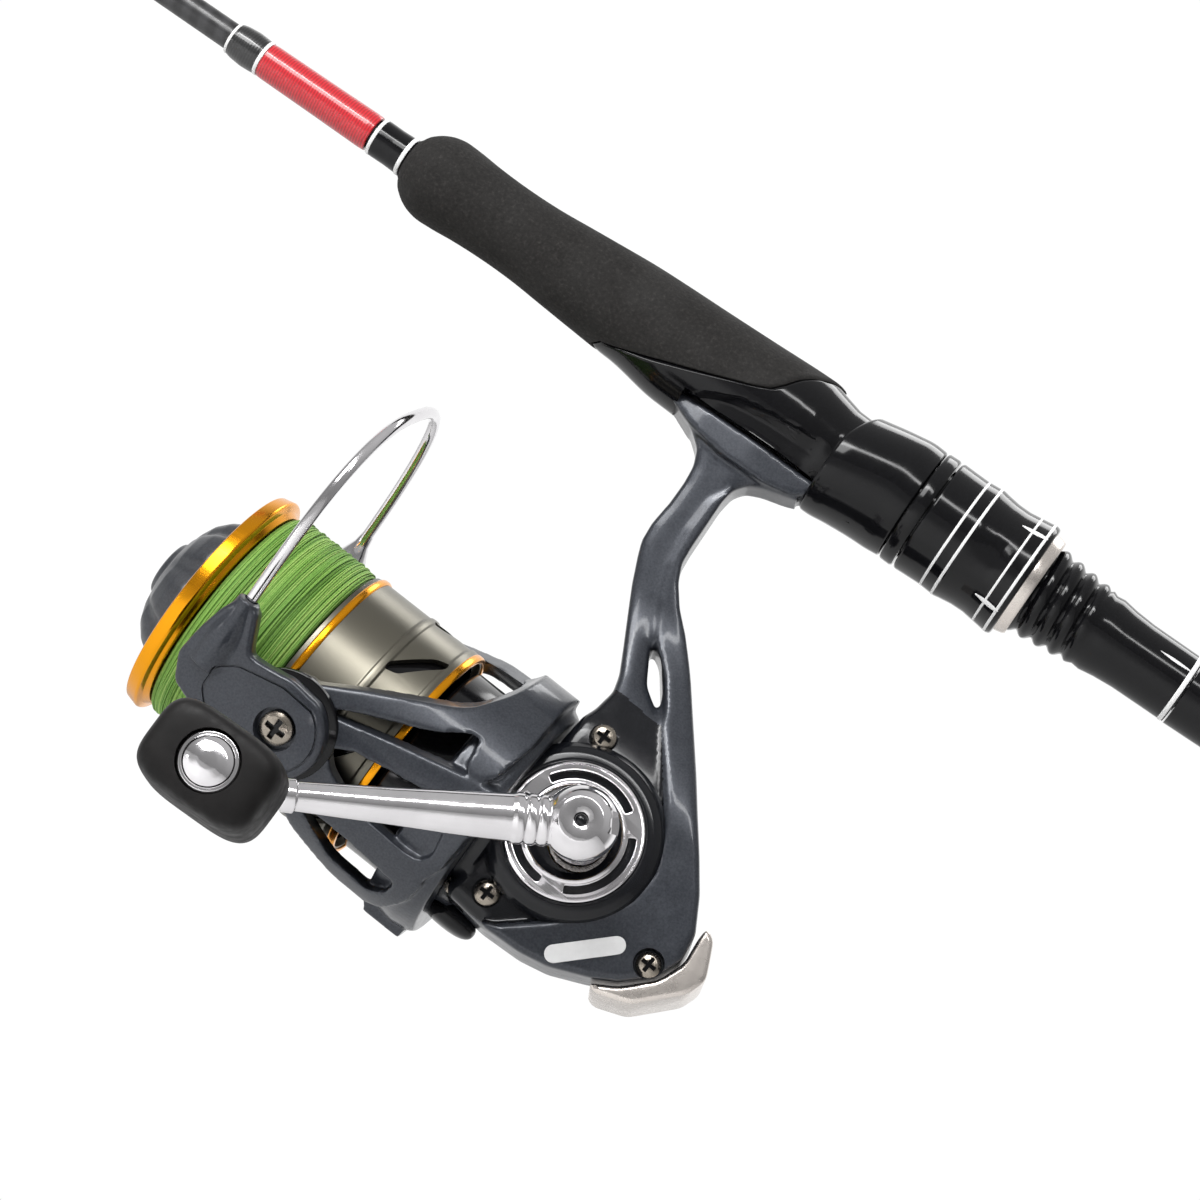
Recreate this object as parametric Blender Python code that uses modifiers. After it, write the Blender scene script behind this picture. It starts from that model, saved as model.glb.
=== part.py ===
"""Light spinning rod, 1.65 m in two sections, with a 3000-size spinning reel on its seat.

Frame: the origin is the centre of the butt cap's flat rear face, +X runs along the rod to the tip,
+Z is up and the reel hangs below the rod. The handle is on the +Y side.
Every length in this file is in millimetres and every angle in degrees. The helpers turn them into
Blender's metres and radians.
"""

import math

import bmesh
import bpy
from mathutils import Matrix

MM = 0.001
GAP = 0.3
OBJECT_NAME = "spinning_rod_and_reel"

# Rod: stations along X and the radii there.
ROD_LENGTH = 1650.0
BLANK_BUTT_RADIUS = 4.2
BLANK_MID_RADIUS = 2.7
BLANK_MID_X = 430.0
FERRULE_X = 850.0
FERRULE_RADIUS = 2.2
SPIGOT_LENGTH = 55.0
SPIGOT_RADIUS = 2.0
TIP_RADIUS = 0.9
BUTT_CAP_RADIUS = 13.5
BUTT_CAP_LENGTH = 14.0
BUTT_GRIP_FRONT = 96.0
SEAT_REAR = 211.0
THREAD_REAR = 232.0
THREAD_FRONT = 255.8
THREAD_RADIUS = 9.4
SEAT_RADIUS = 8.6
DECK_Z = -8.0
DECK_FRONT = 318.0
NUT_REAR = 246.0
NUT_FRONT = 267.8
HOOD_FRONT = 288.0
HOOD_BORE = 8.9
GRIP_REAR = 292.0
GRIP_FRONT = 386.0
SEAM_TOP = (298.0, 10.8)
SEAM_BOTTOM = (335.5, -9.7)
WRAP_FRONT = 427.0

# Guides: station along the rod, ring radius, and the ring's depth below the rod's axis.
LOWER_GUIDES = [(520.0, 9.0, 21.0), (720.0, 6.2, 15.5)]
UPPER_GUIDES = [(960.0, 4.4, 11.5), (1180.0, 3.4, 9.0), (1390.0, 2.8, 7.5)]

# Reel frame: X along the spool's axis towards the tip, Y towards the handle, Z towards the rod.
REEL_X = 284.5
REEL_Z = -94.3
REEL_TILT = 3.0

# Body: where the cover's screws stand, and the anti-reverse lever's pin, in the reel frame.
SCREW_PLACES = [(7.6, 23.2), (7.4, -12.8), (-24.0, -2.4)]
LEVER_S = 9.3
CASE_FAR_Y = -16.0
CASE_SPLIT_Y = 6.0
COVER_Y = 14.0
BAND_Y = 15.4

# Drive train: a 40-tooth face gear, offset above the spool's axis, turns an 8-tooth pinion.
DRIVE_OFFSET = 5.5
GEAR_TEETH = 40
PINION_TEETH = 8
MESH_S = 13.5
FACE_HALF = 1.5
PINION_TIP_RADIUS = 2.95
PINION_ROOT_RADIUS = 2.1
AXLE_RADIUS = 3.0
SHAFT_RADIUS = 1.3

# Oscillation: a small gear on the drive axle turns a larger crank gear behind it.
OSC_SMALL_TEETH = 12
OSC_LARGE_TEETH = 22
OSC_S = -12.5
OSC_Z = 2.0
STROKE = 12.0

# Rotor and bail.
ARM_ANGLE = -26.5
PINION_PHASE = 180.0 / PINION_TEETH - ARM_ANGLE
ROTOR_REAR = 14.5
ROTOR_RADIUS = 25.4
ARM_INNER = 24.0
ARM_OUTER = 27.2
PIVOT_S = 53.0
BAIL_INNER = 27.6
BAIL_OUTER = 31.0
WIRE_S = 70.0
WIRE_RADIUS = 1.1
WIRE_HALF_WIDTH = 28.6
WIRE_REACH = 52.0

# Spool.
SKIRT_REAR = 35.3
SKIRT_RADIUS = 22.3
FLANGE_S = 58.0
LIP_REAR = 78.5
LIP_FRONT = 82.0
LIP_RADIUS = 23.2

# Handle.
CRANK_ANGLE = -34.3
CRANK_LENGTH = 61.0
ELBOW_Y = 36.0
KNOB_INNER_Y = 54.0
KNOB_OUTER_Y = 77.0


# Rotations that lay a turned piece's axis along the parent's X, Y or Z.
ALONG_X = (0, 90, 0)
ALONG_Y = (-90, 0, 0)
ALONG_Z = (0, 0, 0)


# ---------------------------------------------------------------- helpers

def clear_scene():
    """Leave the file with no objects, so that the script gives the same result in any scene."""
    for obj in list(bpy.data.objects):
        bpy.data.objects.remove(obj, do_unlink=True)


def collection(name):
    made = bpy.data.collections.new(name)
    bpy.context.scene.collection.children.link(made)
    return made


def material(name, colour, roughness, metallic=0.0):
    made = bpy.data.materials.new(name)
    made.use_nodes = True
    shader = made.node_tree.nodes["Principled BSDF"]
    shader.inputs["Base Color"].default_value = (*colour, 1.0)
    shader.inputs["Roughness"].default_value = roughness
    shader.inputs["Metallic"].default_value = metallic
    return made


def empty(name, parent=None, location=(0, 0, 0), rotation=(0, 0, 0)):
    made = bpy.data.objects.new(name, None)
    PARTS.objects.link(made)
    made.empty_display_size = 5 * MM
    made.parent = parent
    made.location = [value * MM for value in location]
    made.rotation_euler = [math.radians(angle) for angle in rotation]
    return made


def place(obj, parent, location, rotation):
    obj.parent = parent
    obj.location = [value * MM for value in location]
    obj.rotation_euler = [math.radians(angle) for angle in rotation]
    return obj


def finish_mesh(obj, look):
    """Give the object its material and shade its round faces smooth."""
    obj.data.materials.clear()
    obj.data.materials.append(look)
    obj.data.shade_smooth()
    obj.data.set_sharp_from_angle(angle=math.radians(35))
    return obj


def helper(obj):
    """Move an object to the cutters: it shapes another object and isn't a part itself."""
    for owner in list(obj.users_collection):
        owner.objects.unlink(obj)
    CUTTERS.objects.link(obj)
    obj.hide_render = True
    obj.display_type = "WIRE"
    return obj


def turned(name, profile, look, segments=24, parent=None, location=(0, 0, 0), rotation=ALONG_X):
    """A turned solid. The profile is (along, radius), down its outer side from front to rear.

    A profile that starts and ends on the axis is a solid; any other is closed into a ring.
    With the default rotation the axis lies along the parent's X.
    """
    mesh = bpy.data.meshes.new(name)
    points = [(radius * MM, 0.0, along * MM) for along, radius in profile]
    edges = [(i, i + 1) for i in range(len(points) - 1)]
    solid = profile[0][1] == 0 and profile[-1][1] == 0
    if not solid:
        edges.append((len(points) - 1, 0))
    mesh.from_pydata(points, edges, [])
    obj = bpy.data.objects.new(name, mesh)
    PARTS.objects.link(obj)
    screw = obj.modifiers.new("turn", "SCREW")
    screw.steps = segments
    screw.render_steps = segments
    screw.use_merge_vertices = True
    screw.merge_threshold = 0.00001
    screw.use_smooth_shade = True
    baked = bpy.data.meshes.new_from_object(obj.evaluated_get(bpy.context.evaluated_depsgraph_get()))
    obj.modifiers.remove(screw)
    obj.data = baked
    bpy.data.meshes.remove(mesh)
    place(obj, parent, location, rotation)
    return finish_mesh(obj, look)


def curve_to_mesh(curve_obj, look):
    """Replace a curve object by its mesh, with its caps welded on."""
    name = curve_obj.name
    graph = bpy.context.evaluated_depsgraph_get()
    mesh = bpy.data.meshes.new_from_object(curve_obj.evaluated_get(graph))
    cage = bmesh.new()
    cage.from_mesh(mesh)
    bmesh.ops.remove_doubles(cage, verts=cage.verts, dist=0.000002)
    bmesh.ops.recalc_face_normals(cage, faces=cage.faces)
    cage.to_mesh(mesh)
    cage.free()
    bpy.data.objects.remove(curve_obj)
    obj = bpy.data.objects.new(name, mesh)
    PARTS.objects.link(obj)
    return finish_mesh(obj, look)


def plate(name, outlines, low, high, look, parent=None, location=(0, 0, 0), rotation=(0, 0, 0)):
    """A flat plate: outlines in the parent's X and Z, from Y low to Y high. Later outlines are holes."""
    curve = bpy.data.curves.new(name, "CURVE")
    curve.dimensions = "2D"
    curve.fill_mode = "BOTH"
    curve.extrude = 0.5 * (high - low) * MM
    for outline in outlines:
        spline = curve.splines.new("POLY")
        spline.points.add(len(outline) - 1)
        for point, (x, z) in zip(spline.points, outline):
            point.co = (x * MM, z * MM, 0.0, 1.0)
        spline.use_cyclic_u = True
    drawn = bpy.data.objects.new(name, curve)
    PARTS.objects.link(drawn)
    obj = curve_to_mesh(drawn, look)
    middle = 0.5 * (high + low) * MM
    obj.data.transform(Matrix.Translation((0, middle, 0)) @ Matrix.Rotation(math.pi / 2, 4, "X"))
    return place(obj, parent, location, rotation)


def tube(name, points, radius, look, parent=None, location=(0, 0, 0), rotation=(0, 0, 0), resolution=2):
    """A round wire through the points, which may each carry a radius factor as a fourth number."""
    curve = bpy.data.curves.new(name, "CURVE")
    curve.dimensions = "3D"
    curve.bevel_depth = radius * MM
    curve.bevel_resolution = resolution
    curve.use_fill_caps = True
    spline = curve.splines.new("POLY")
    spline.points.add(len(points) - 1)
    for point, given in zip(spline.points, points):
        point.co = (given[0] * MM, given[1] * MM, given[2] * MM, 1.0)
        point.radius = given[3] if len(given) > 3 else 1.0
    drawn = bpy.data.objects.new(name, curve)
    PARTS.objects.link(drawn)
    return place(curve_to_mesh(drawn, look), parent, location, rotation)


def combine(obj, other, operation):
    """Add, cut or intersect with a helper object and keep the result in the object's mesh."""
    modifier = obj.modifiers.new(operation.lower(), "BOOLEAN")
    modifier.operation = operation
    modifier.solver = "EXACT"
    modifier.object = helper(other)
    return obj


def join(obj, *others):
    for other in others:
        combine(obj, other, "UNION")
    return obj


def cut(obj, *others):
    for other in others:
        combine(obj, other, "DIFFERENCE")
    return obj


def merge_flats(objects):
    """Merge the flat faces that the Booleans split, as the last step on each object."""
    for obj in objects:
        if any(modifier.type == "BOOLEAN" for modifier in obj.modifiers):
            flats = obj.modifiers.new("merge_flats", "DECIMATE")
            flats.decimate_type = "DISSOLVE"
            flats.angle_limit = math.radians(0.05)


def box(name, low, high, look, parent=None, location=(0, 0, 0), rotation=(0, 0, 0)):
    cage = bmesh.new()
    bmesh.ops.create_cube(cage, size=1.0)
    size = [(b - a) * MM for a, b in zip(low, high)]
    middle = [0.5 * (a + b) * MM for a, b in zip(low, high)]
    bmesh.ops.scale(cage, vec=size, verts=cage.verts)
    bmesh.ops.translate(cage, vec=middle, verts=cage.verts)
    mesh = bpy.data.meshes.new(name)
    cage.to_mesh(mesh)
    cage.free()
    obj = bpy.data.objects.new(name, mesh)
    PARTS.objects.link(obj)
    place(obj, parent, location, rotation)
    return finish_mesh(obj, look)


def arc(centre, radius, start, end, count):
    """Points along an arc, both ends included."""
    return [
        (
            centre[0] + radius * math.cos(math.radians(start + (end - start) * i / (count - 1))),
            centre[1] + radius * math.sin(math.radians(start + (end - start) * i / (count - 1))),
        )
        for i in range(count)
    ]


def circle(centre, radius, count=24):
    return arc(centre, radius, 0, 360 - 360 / count, count)


def ring(front, rear, outer, inner, chamfer=0.0):
    """Profile of a plain ring between two stations."""
    if not chamfer:
        return [(front, inner), (front, outer), (rear, outer), (rear, inner)]
    return [
        (front, inner),
        (front, outer - chamfer),
        (front - chamfer, outer),
        (rear + chamfer, outer),
        (rear, outer - chamfer),
        (rear, inner),
    ]


def filleted(corners, count=2):
    """An outline from (x, z, fillet radius) corners."""
    outline = []
    total = len(corners)
    for i, (x, z, radius) in enumerate(corners):
        if not radius:
            outline.append((x, z))
            continue
        before = corners[i - 1]
        after = corners[(i + 1) % total]
        back = math.atan2(before[1] - z, before[0] - x)
        ahead = math.atan2(after[1] - z, after[0] - x)
        half = 0.5 * ((ahead - back + math.pi) % (2 * math.pi) - math.pi)
        reach = radius / abs(math.tan(half))
        start = (x + reach * math.cos(back), z + reach * math.sin(back))
        end = (x + reach * math.cos(ahead), z + reach * math.sin(ahead))
        for k in range(count + 1):
            t = k / count
            outline.append((
                (1 - t) ** 2 * start[0] + 2 * t * (1 - t) * x + t ** 2 * end[0],
                (1 - t) ** 2 * start[1] + 2 * t * (1 - t) * z + t ** 2 * end[1],
            ))
    return outline


def gear_outline(teeth, tip, root, tooth_width, phase=0.0):
    """A spur gear's outline: straight-sided teeth, narrower at the tip."""
    outline = []
    for i in range(teeth):
        angle = phase + 360.0 * i / teeth
        wide = math.degrees(0.62 * tooth_width / root)
        narrow = math.degrees(0.36 * tooth_width / tip)
        for radius, turn in ((root, -wide), (tip, -narrow), (tip, narrow), (root, wide)):
            turned_by = math.radians(angle + turn)
            outline.append((radius * math.cos(turned_by), radius * math.sin(turned_by)))
    return outline


def blank_radius(x):
    """The blank tapers quickly through the grip and slowly beyond it."""
    if x < BLANK_MID_X:
        return BLANK_BUTT_RADIUS + (BLANK_MID_RADIUS - BLANK_BUTT_RADIUS) * x / BLANK_MID_X
    share = (x - BLANK_MID_X) / (FERRULE_X - BLANK_MID_X)
    return BLANK_MID_RADIUS + (FERRULE_RADIUS - BLANK_MID_RADIUS) * min(share, 1.0)


def tip_section_radius(x):
    share = (x - FERRULE_X - SPIGOT_LENGTH) / (ROD_LENGTH - FERRULE_X - SPIGOT_LENGTH)
    return 2.7 + (TIP_RADIUS - 2.7) * max(share, 0.0)


# ---------------------------------------------------------------- rod

def make_blanks():
    spigot_end = FERRULE_X + SPIGOT_LENGTH
    wall = 0.9
    profile = [
        (spigot_end, SPIGOT_RADIUS - wall),
        (spigot_end, SPIGOT_RADIUS),
        (FERRULE_X, SPIGOT_RADIUS),
        (FERRULE_X - 0.4, FERRULE_RADIUS),
        (BLANK_MID_X, BLANK_MID_RADIUS),
        (6.0, BLANK_BUTT_RADIUS),
        (6.0, BLANK_BUTT_RADIUS - wall),
        (BLANK_MID_X, BLANK_MID_RADIUS - wall),
    ]
    turned("blank_lower", profile, CARBON, 14)
    tip = [
        (ROD_LENGTH - 7.0, 0.0),
        (ROD_LENGTH - 7.0, TIP_RADIUS),
        (spigot_end, 2.7),
        (FERRULE_X + 8.0, 2.95),
        (FERRULE_X + 7.0, 3.3),
        (FERRULE_X + GAP, 3.3),
        (FERRULE_X + GAP, SPIGOT_RADIUS + GAP),
        (spigot_end + 2.0, SPIGOT_RADIUS + GAP),
        (spigot_end + 3.0, 0.0),
    ]
    turned("blank_tip", tip, CARBON, 14, TIP_SLIDE, (-FERRULE_X, 0, 0))


def make_butt():
    cap = [
        (BUTT_CAP_LENGTH, 0.0),
        (BUTT_CAP_LENGTH, 5.2),
        (BUTT_CAP_LENGTH, 12.2),
        (BUTT_CAP_LENGTH - 1.5, 12.9),
        (4.0, BUTT_CAP_RADIUS),
        (1.2, BUTT_CAP_RADIUS - 0.4),
        (0.0, BUTT_CAP_RADIUS - 1.8),
        (0.0, 0.0),
    ]
    butt_cap = turned("butt_cap", cap, RUBBER, 18)
    socket = [(BUTT_CAP_LENGTH + 1, 0.0), (BUTT_CAP_LENGTH + 1, 4.8), (5.6, 4.8), (5.6, 0.0)]
    cut(butt_cap, turned("butt_socket", socket, RUBBER, 18))
    bore = blank_radius(0.0) + GAP
    rear = BUTT_CAP_LENGTH + GAP
    grip = [
        (BUTT_GRIP_FRONT, bore),
        (BUTT_GRIP_FRONT, 7.4),
        (BUTT_GRIP_FRONT - 3.0, 8.6),
        (BUTT_GRIP_FRONT - 20.0, 9.6),
        (52.0, 10.0),
        (34.0, 11.3),
        (22.0, 12.4),
        (rear, 12.7),
        (rear, bore),
    ]
    turned("butt_grip", grip, EVA, 18)
    sleeve = [
        (SEAT_REAR - GAP, 4.4),
        (SEAT_REAR - GAP, 7.0),
        (SEAT_REAR - 22.0, 6.5),
        (160.0, 6.1),
        (BUTT_GRIP_FRONT + 12.0, 6.4),
        (BUTT_GRIP_FRONT + GAP, 7.2),
        (BUTT_GRIP_FRONT + GAP, 4.4),
    ]
    turned("rear_sleeve", sleeve, GLOSS_BLACK, 18)


def seam_cutter(name, keep_front, shift):
    """A block whose one face is the slanted seam between the foregrip and the reel seat."""
    top = (SEAM_TOP[0] + shift + 4.0, SEAM_TOP[1] - 4.0 * seam_slope())
    lean = 40.0
    upper = (top[0] - lean, top[1] - lean * seam_slope())
    lower = (top[0] + lean + 20.0, top[1] + (lean + 20.0) * seam_slope())
    side = 90.0 if keep_front else -90.0
    outline = [upper, lower, (lower[0] - side, lower[1]), (upper[0] - side, upper[1])]
    if not keep_front:
        outline.reverse()
    return plate(name, [outline], -20.0, 20.0, EVA)


def seam_slope():
    """Rise in Z for each millimetre in X along the seam."""
    return (SEAM_BOTTOM[1] - SEAM_TOP[1]) / (SEAM_BOTTOM[0] - SEAM_TOP[0])


def make_foregrip():
    bore = 3.9
    profile = [
        (GRIP_FRONT, bore),
        (GRIP_FRONT, 4.4),
        (GRIP_FRONT - 1.4, 6.0),
        (GRIP_FRONT - 4.0, 7.7),
        (GRIP_FRONT - 7.5, 8.7),
        (GRIP_FRONT - 13.0, 8.5),
        (GRIP_FRONT - 22.0, 8.0),
        (GRIP_FRONT - 29.0, 8.1),
        (GRIP_FRONT - 40.0, 9.0),
        (GRIP_FRONT - 51.0, 9.7),
        (GRIP_FRONT - 66.0, 10.2),
        (GRIP_FRONT - 88.0, 10.7),
        (GRIP_REAR, 10.7),
        (GRIP_REAR, bore),
    ]
    grip = turned("foregrip", profile, EVA, 22)
    cut(grip, seam_cutter("foregrip_seam", True, 0.0))


def make_front_trim():
    bore = blank_radius(GRIP_FRONT) + GAP
    check = [
        (394.2, bore),
        (394.2, 3.7),
        (393.0, 3.8),
        (GRIP_FRONT + GAP, 4.0),
        (GRIP_FRONT + GAP, bore),
    ]
    turned("winding_check", check, GLOSS_BLACK, 18)
    wrap = [
        (WRAP_FRONT, bore - 0.08),
        (WRAP_FRONT, 3.4),
        (424.5, 3.7),
        (421.0, 3.7),
        (419.5, 3.45),
        (407.0, 3.5),
        (394.5, 3.65),
        (394.5, bore - 0.08),
    ]
    turned("decorative_wrap", wrap, RED_WRAP, 18)


def make_seat():
    bore = 4.3
    profile = [
        (340.0, bore),
        (340.0, 9.4),
        (335.0, 9.7),
        (326.0, 10.3),
        (318.0, 10.8),
        (306.0, 10.7),
        (297.0, 10.5),
        (290.0, 8.9),
        (287.0, SEAT_RADIUS),
        (THREAD_FRONT + 0.8, SEAT_RADIUS),
        (THREAD_FRONT, THREAD_RADIUS),
        (THREAD_REAR + 2.0, THREAD_RADIUS),
        (THREAD_REAR, 8.4),
        (THREAD_REAR - 8.0, 7.2),
        (SEAT_REAR + 6.0, 7.0),
        (SEAT_REAR, 7.0),
        (SEAT_REAR, bore),
    ]
    seat = turned("reel_seat", profile, GLOSS_BLACK, 22)
    lip = turned("seat_lip", [(334.0, 0.0), (334.0, 8.4), (327.0, 10.0), (321.0, 11.2), (314.0, 11.2),
                              (306.0, 10.0), (306.0, 0.0)], GLOSS_BLACK, 22, None, (0, 0, -0.8))
    bore_core = turned("seat_bore", [(345.0, 0.0), (345.0, bore), (300.0, bore), (300.0, 0.0)],
                       GLOSS_BLACK, 22)
    deck = box("seat_deck", (266.0, -20.0, -30.0), (DECK_FRONT, 20.0, DECK_Z), GLOSS_BLACK)
    pocket = box("hood_pocket", (DECK_FRONT - 2.0, -5.0, -10.7), (325.6, 5.0, DECK_Z), GLOSS_BLACK)
    join(seat, lip)
    cut(seat, bore_core)
    cut(seat, seam_cutter("seat_seam", False, -0.35), deck, pocket)


def make_moving_hood():
    front = HOOD_FRONT
    rear = NUT_FRONT + GAP
    profile = [
        (front, 0.0),
        (front, 9.5),
        (front - 2.0, 10.2),
        (front - 8.0, 11.1),
        (rear + 2.0, 11.6),
        (rear, 11.6),
        (rear, 0.0),
    ]
    hood = turned("moving_hood", profile, GLOSS_BLACK, 22, HOOD_SLIDE, (-REEL_X, 0, 0))
    belly = turned("hood_belly", [(front, 0.0), (front, 11.0), (front - 1.5, 11.4), (front - 9.0, 11.4),
                                  (rear + 1.0, 9.8), (rear + 1.0, 0.0)], GLOSS_BLACK, 22, HOOD_SLIDE,
                   (-REEL_X, 0, -1.6))
    bore_core = turned("hood_bore", [(front + 1.0, 0.0), (front + 1.0, HOOD_BORE), (rear - 1.0, HOOD_BORE),
                                     (rear - 1.0, 0.0)], GLOSS_BLACK, 22, HOOD_SLIDE, (-REEL_X, 0, 0))
    pocket = box("foot_pocket", (276.0 - REEL_X, -5.4, -11.1), (front + 1.0 - REEL_X, 5.4, 0.0),
                 GLOSS_BLACK, HOOD_SLIDE)
    join(hood, belly)
    lead = plate("hood_lead", [[(front - REEL_X - 3.5, 14.0), (front - REEL_X + 2.0, -2.0),
                                (front - REEL_X + 2.0, 14.0)]], -20.0, 20.0, GLOSS_BLACK, HOOD_SLIDE)
    cut(hood, bore_core, pocket, lead)
    bore = THREAD_RADIUS + GAP
    nut_profile = [
        (NUT_FRONT, bore),
        (NUT_FRONT, 11.6),
        (261.6, 11.5),
        (258.8, 11.7),
        (256.0, 11.2),
        (252.0, 11.1),
        (249.5, 11.5),
        (NUT_REAR + 0.8, 11.9),
        (NUT_REAR, 11.5),
        (NUT_REAR, bore),
    ]
    turned("hood_nut", nut_profile, GLOSS_BLACK, 22, NUT_TURN, (-NUT_FRONT, 0, 0))


def make_guide(number, station, radius, depth, parent, parent_x):
    """A single-foot guide: a ring on a splayed leg below the blank, with a ceramic insert."""
    blank = blank_radius(station) if station < FERRULE_X else tip_section_radius(station)
    outer = radius + 1.3
    top = -(blank + GAP)
    leg = 2.0 + 0.35 * radius
    outline = arc((0.0, -depth), outer, 120, 420, 16)
    outline += [(leg, top - 0.8), (leg, top), (-leg, top), (-leg, top - 0.8)]
    holes = [circle((0.0, -depth), radius + GAP, 16)]
    space = depth - outer + top
    if space > 4.0:
        holes.append([
            (-0.55 * leg, top - 1.8),
            (0.55 * leg, top - 1.8),
            (0.62 * leg, top - space + 0.6),
            (-0.62 * leg, top - space + 0.6),
        ])
    frame = plate(f"guide_frame_{number}", [outline] + holes, -0.6, 0.6, GUIDE_STEEL, parent,
                  (station - parent_x, 0, 0), (0, 0, 90))
    foot_low = (station - parent_x - 1.0, -0.9, top - 1.1)
    foot_high = (station - parent_x + 8.0 + radius, 0.9, top)
    join(frame, box(f"guide_foot_{number}", foot_low, foot_high, GUIDE_STEEL, parent))
    insert = ring(1.1, -1.1, radius, radius - 1.1)
    turned(f"guide_ring_{number}", insert, CERAMIC, 12, parent, (station - parent_x, 0, -depth))


def make_guides():
    number = 1
    for station, radius, depth in LOWER_GUIDES:
        make_guide(number, station, radius, depth, None, 0.0)
        number += 1
    for station, radius, depth in UPPER_GUIDES:
        make_guide(number, station, radius, depth, TIP_SLIDE, FERRULE_X)
        number += 1


def make_tip_top():
    """The tip-top: a tube over the tip with its ring just below and ahead of it."""
    start = ROD_LENGTH - 20.0 - FERRULE_X
    end = ROD_LENGTH - 2.0 - FERRULE_X
    ring_x = end + 0.5
    tip = turned("tip_top", [(end, 0.0), (end, 1.3), (start + 1.5, 1.6), (start, 1.6), (start, 0.0)],
                 GUIDE_STEEL, 14, TIP_SLIDE)
    bore = turned("tip_bore", [(end - 4.0, 0.0), (end - 4.0, 1.22), (start - 1.0, 1.22),
                               (start - 1.0, 0.0)], GUIDE_STEEL, 14, TIP_SLIDE)
    loop = turned("tip_ring", ring(ring_x + 1.0, ring_x - 1.0, 3.6, 2.3, 0.3), GUIDE_STEEL, 18,
                  TIP_SLIDE, (0, 0, -4.0))
    cut(tip, bore)
    join(tip, loop)


# ---------------------------------------------------------------- reel body

def case_outline():
    """The gear case's side view, from the top of its front face by the bottom and the heel."""
    return filleted([
        (12.0, 24.5, 2.0),
        (14.0, 18.0, 2.0),
        (14.0, -15.3, 1.0),
        (5.2, -15.6, 0.8),
        (3.6, -17.4, 0.8),
        (-9.0, -16.4, 6.0),
        (-20.6, -10.2, 8.0),
        (-27.4, -2.0, 8.0),
        (-26.8, 5.6, 8.0),
        (-18.6, 17.0, 8.0),
        (-9.6, 27.4, 3.0),
        (8.0, 27.4, 3.0),
    ], 2)


def case_hollow(low, high):
    """Room for the drive gear and for the oscillation slide behind it."""
    room = plate("slide_room", [[
        (4.0, -8.0),
        (-21.9, -6.6),
        (-21.9, 10.4),
        (-14.0, 17.0),
        (4.0, 17.0),
    ]], low, high, BODY_GREY, REEL)
    gear = turned("gear_room", [(high + 0.2, 0.0), (high + 0.2, 16.8), (low + 0.2, 16.8), (low + 0.2, 0.0)],
                  BODY_GREY, 24, REEL, (0, 0, DRIVE_OFFSET), ALONG_Y)
    return room, gear


def stem_outline():
    """The stem's side view, from the case up the front, under the foot and down the rear."""
    return filleted([
        (12.0, 22.0, 0),
        (12.8, 31.5, 5.0),
        (26.9, 57.0, 8.0),
        (27.2, 72.0, 6.0),
        (29.6, 78.6, 3.0),
        (31.4, 80.6, 0),
        (31.4, 82.6, 0),
        (10.0, 82.6, 0),
        (10.0, 81.2, 0),
        (19.2, 77.0, 5.0),
        (18.4, 58.5, 8.0),
        (-9.4, 27.4, 0),
        (-12.0, 22.0, 0),
    ], 2)


def make_foot():
    """The foot: its plan rounded at both ends, its side view thinning towards them."""
    plan = plate("foot_plan", [filleted([
        (277.0, -4.4, 2.5),
        (289.0, -5.0, 0),
        (300.0, -6.6, 5.0),
        (313.0, -5.8, 4.0),
        (318.5, -4.7, 0),
        (325.0, -4.2, 2.5),
        (325.0, 4.2, 2.5),
        (318.5, 4.7, 0),
        (313.0, 5.8, 4.0),
        (300.0, 6.6, 5.0),
        (289.0, 5.0, 0),
        (277.0, 4.4, 2.5),
    ], 2)], GAP - DECK_Z, 16.0, BODY_GREY, None, (0, 0, 0), (-90, 0, 0))
    side = plate("foot_side", [[
        (326.0, -7.0),
        (326.0, -10.0),
        (318.6, -10.3),
        (314.6, -12.6),
        (305.0, -14.2),
        (296.0, -14.2),
        (289.4, -12.8),
        (288.4, -10.8),
        (276.0, -10.6),
        (276.0, -7.0),
    ]], -8.0, 8.0, BODY_GREY, None)
    return combine(plan, side, "INTERSECT")


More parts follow.
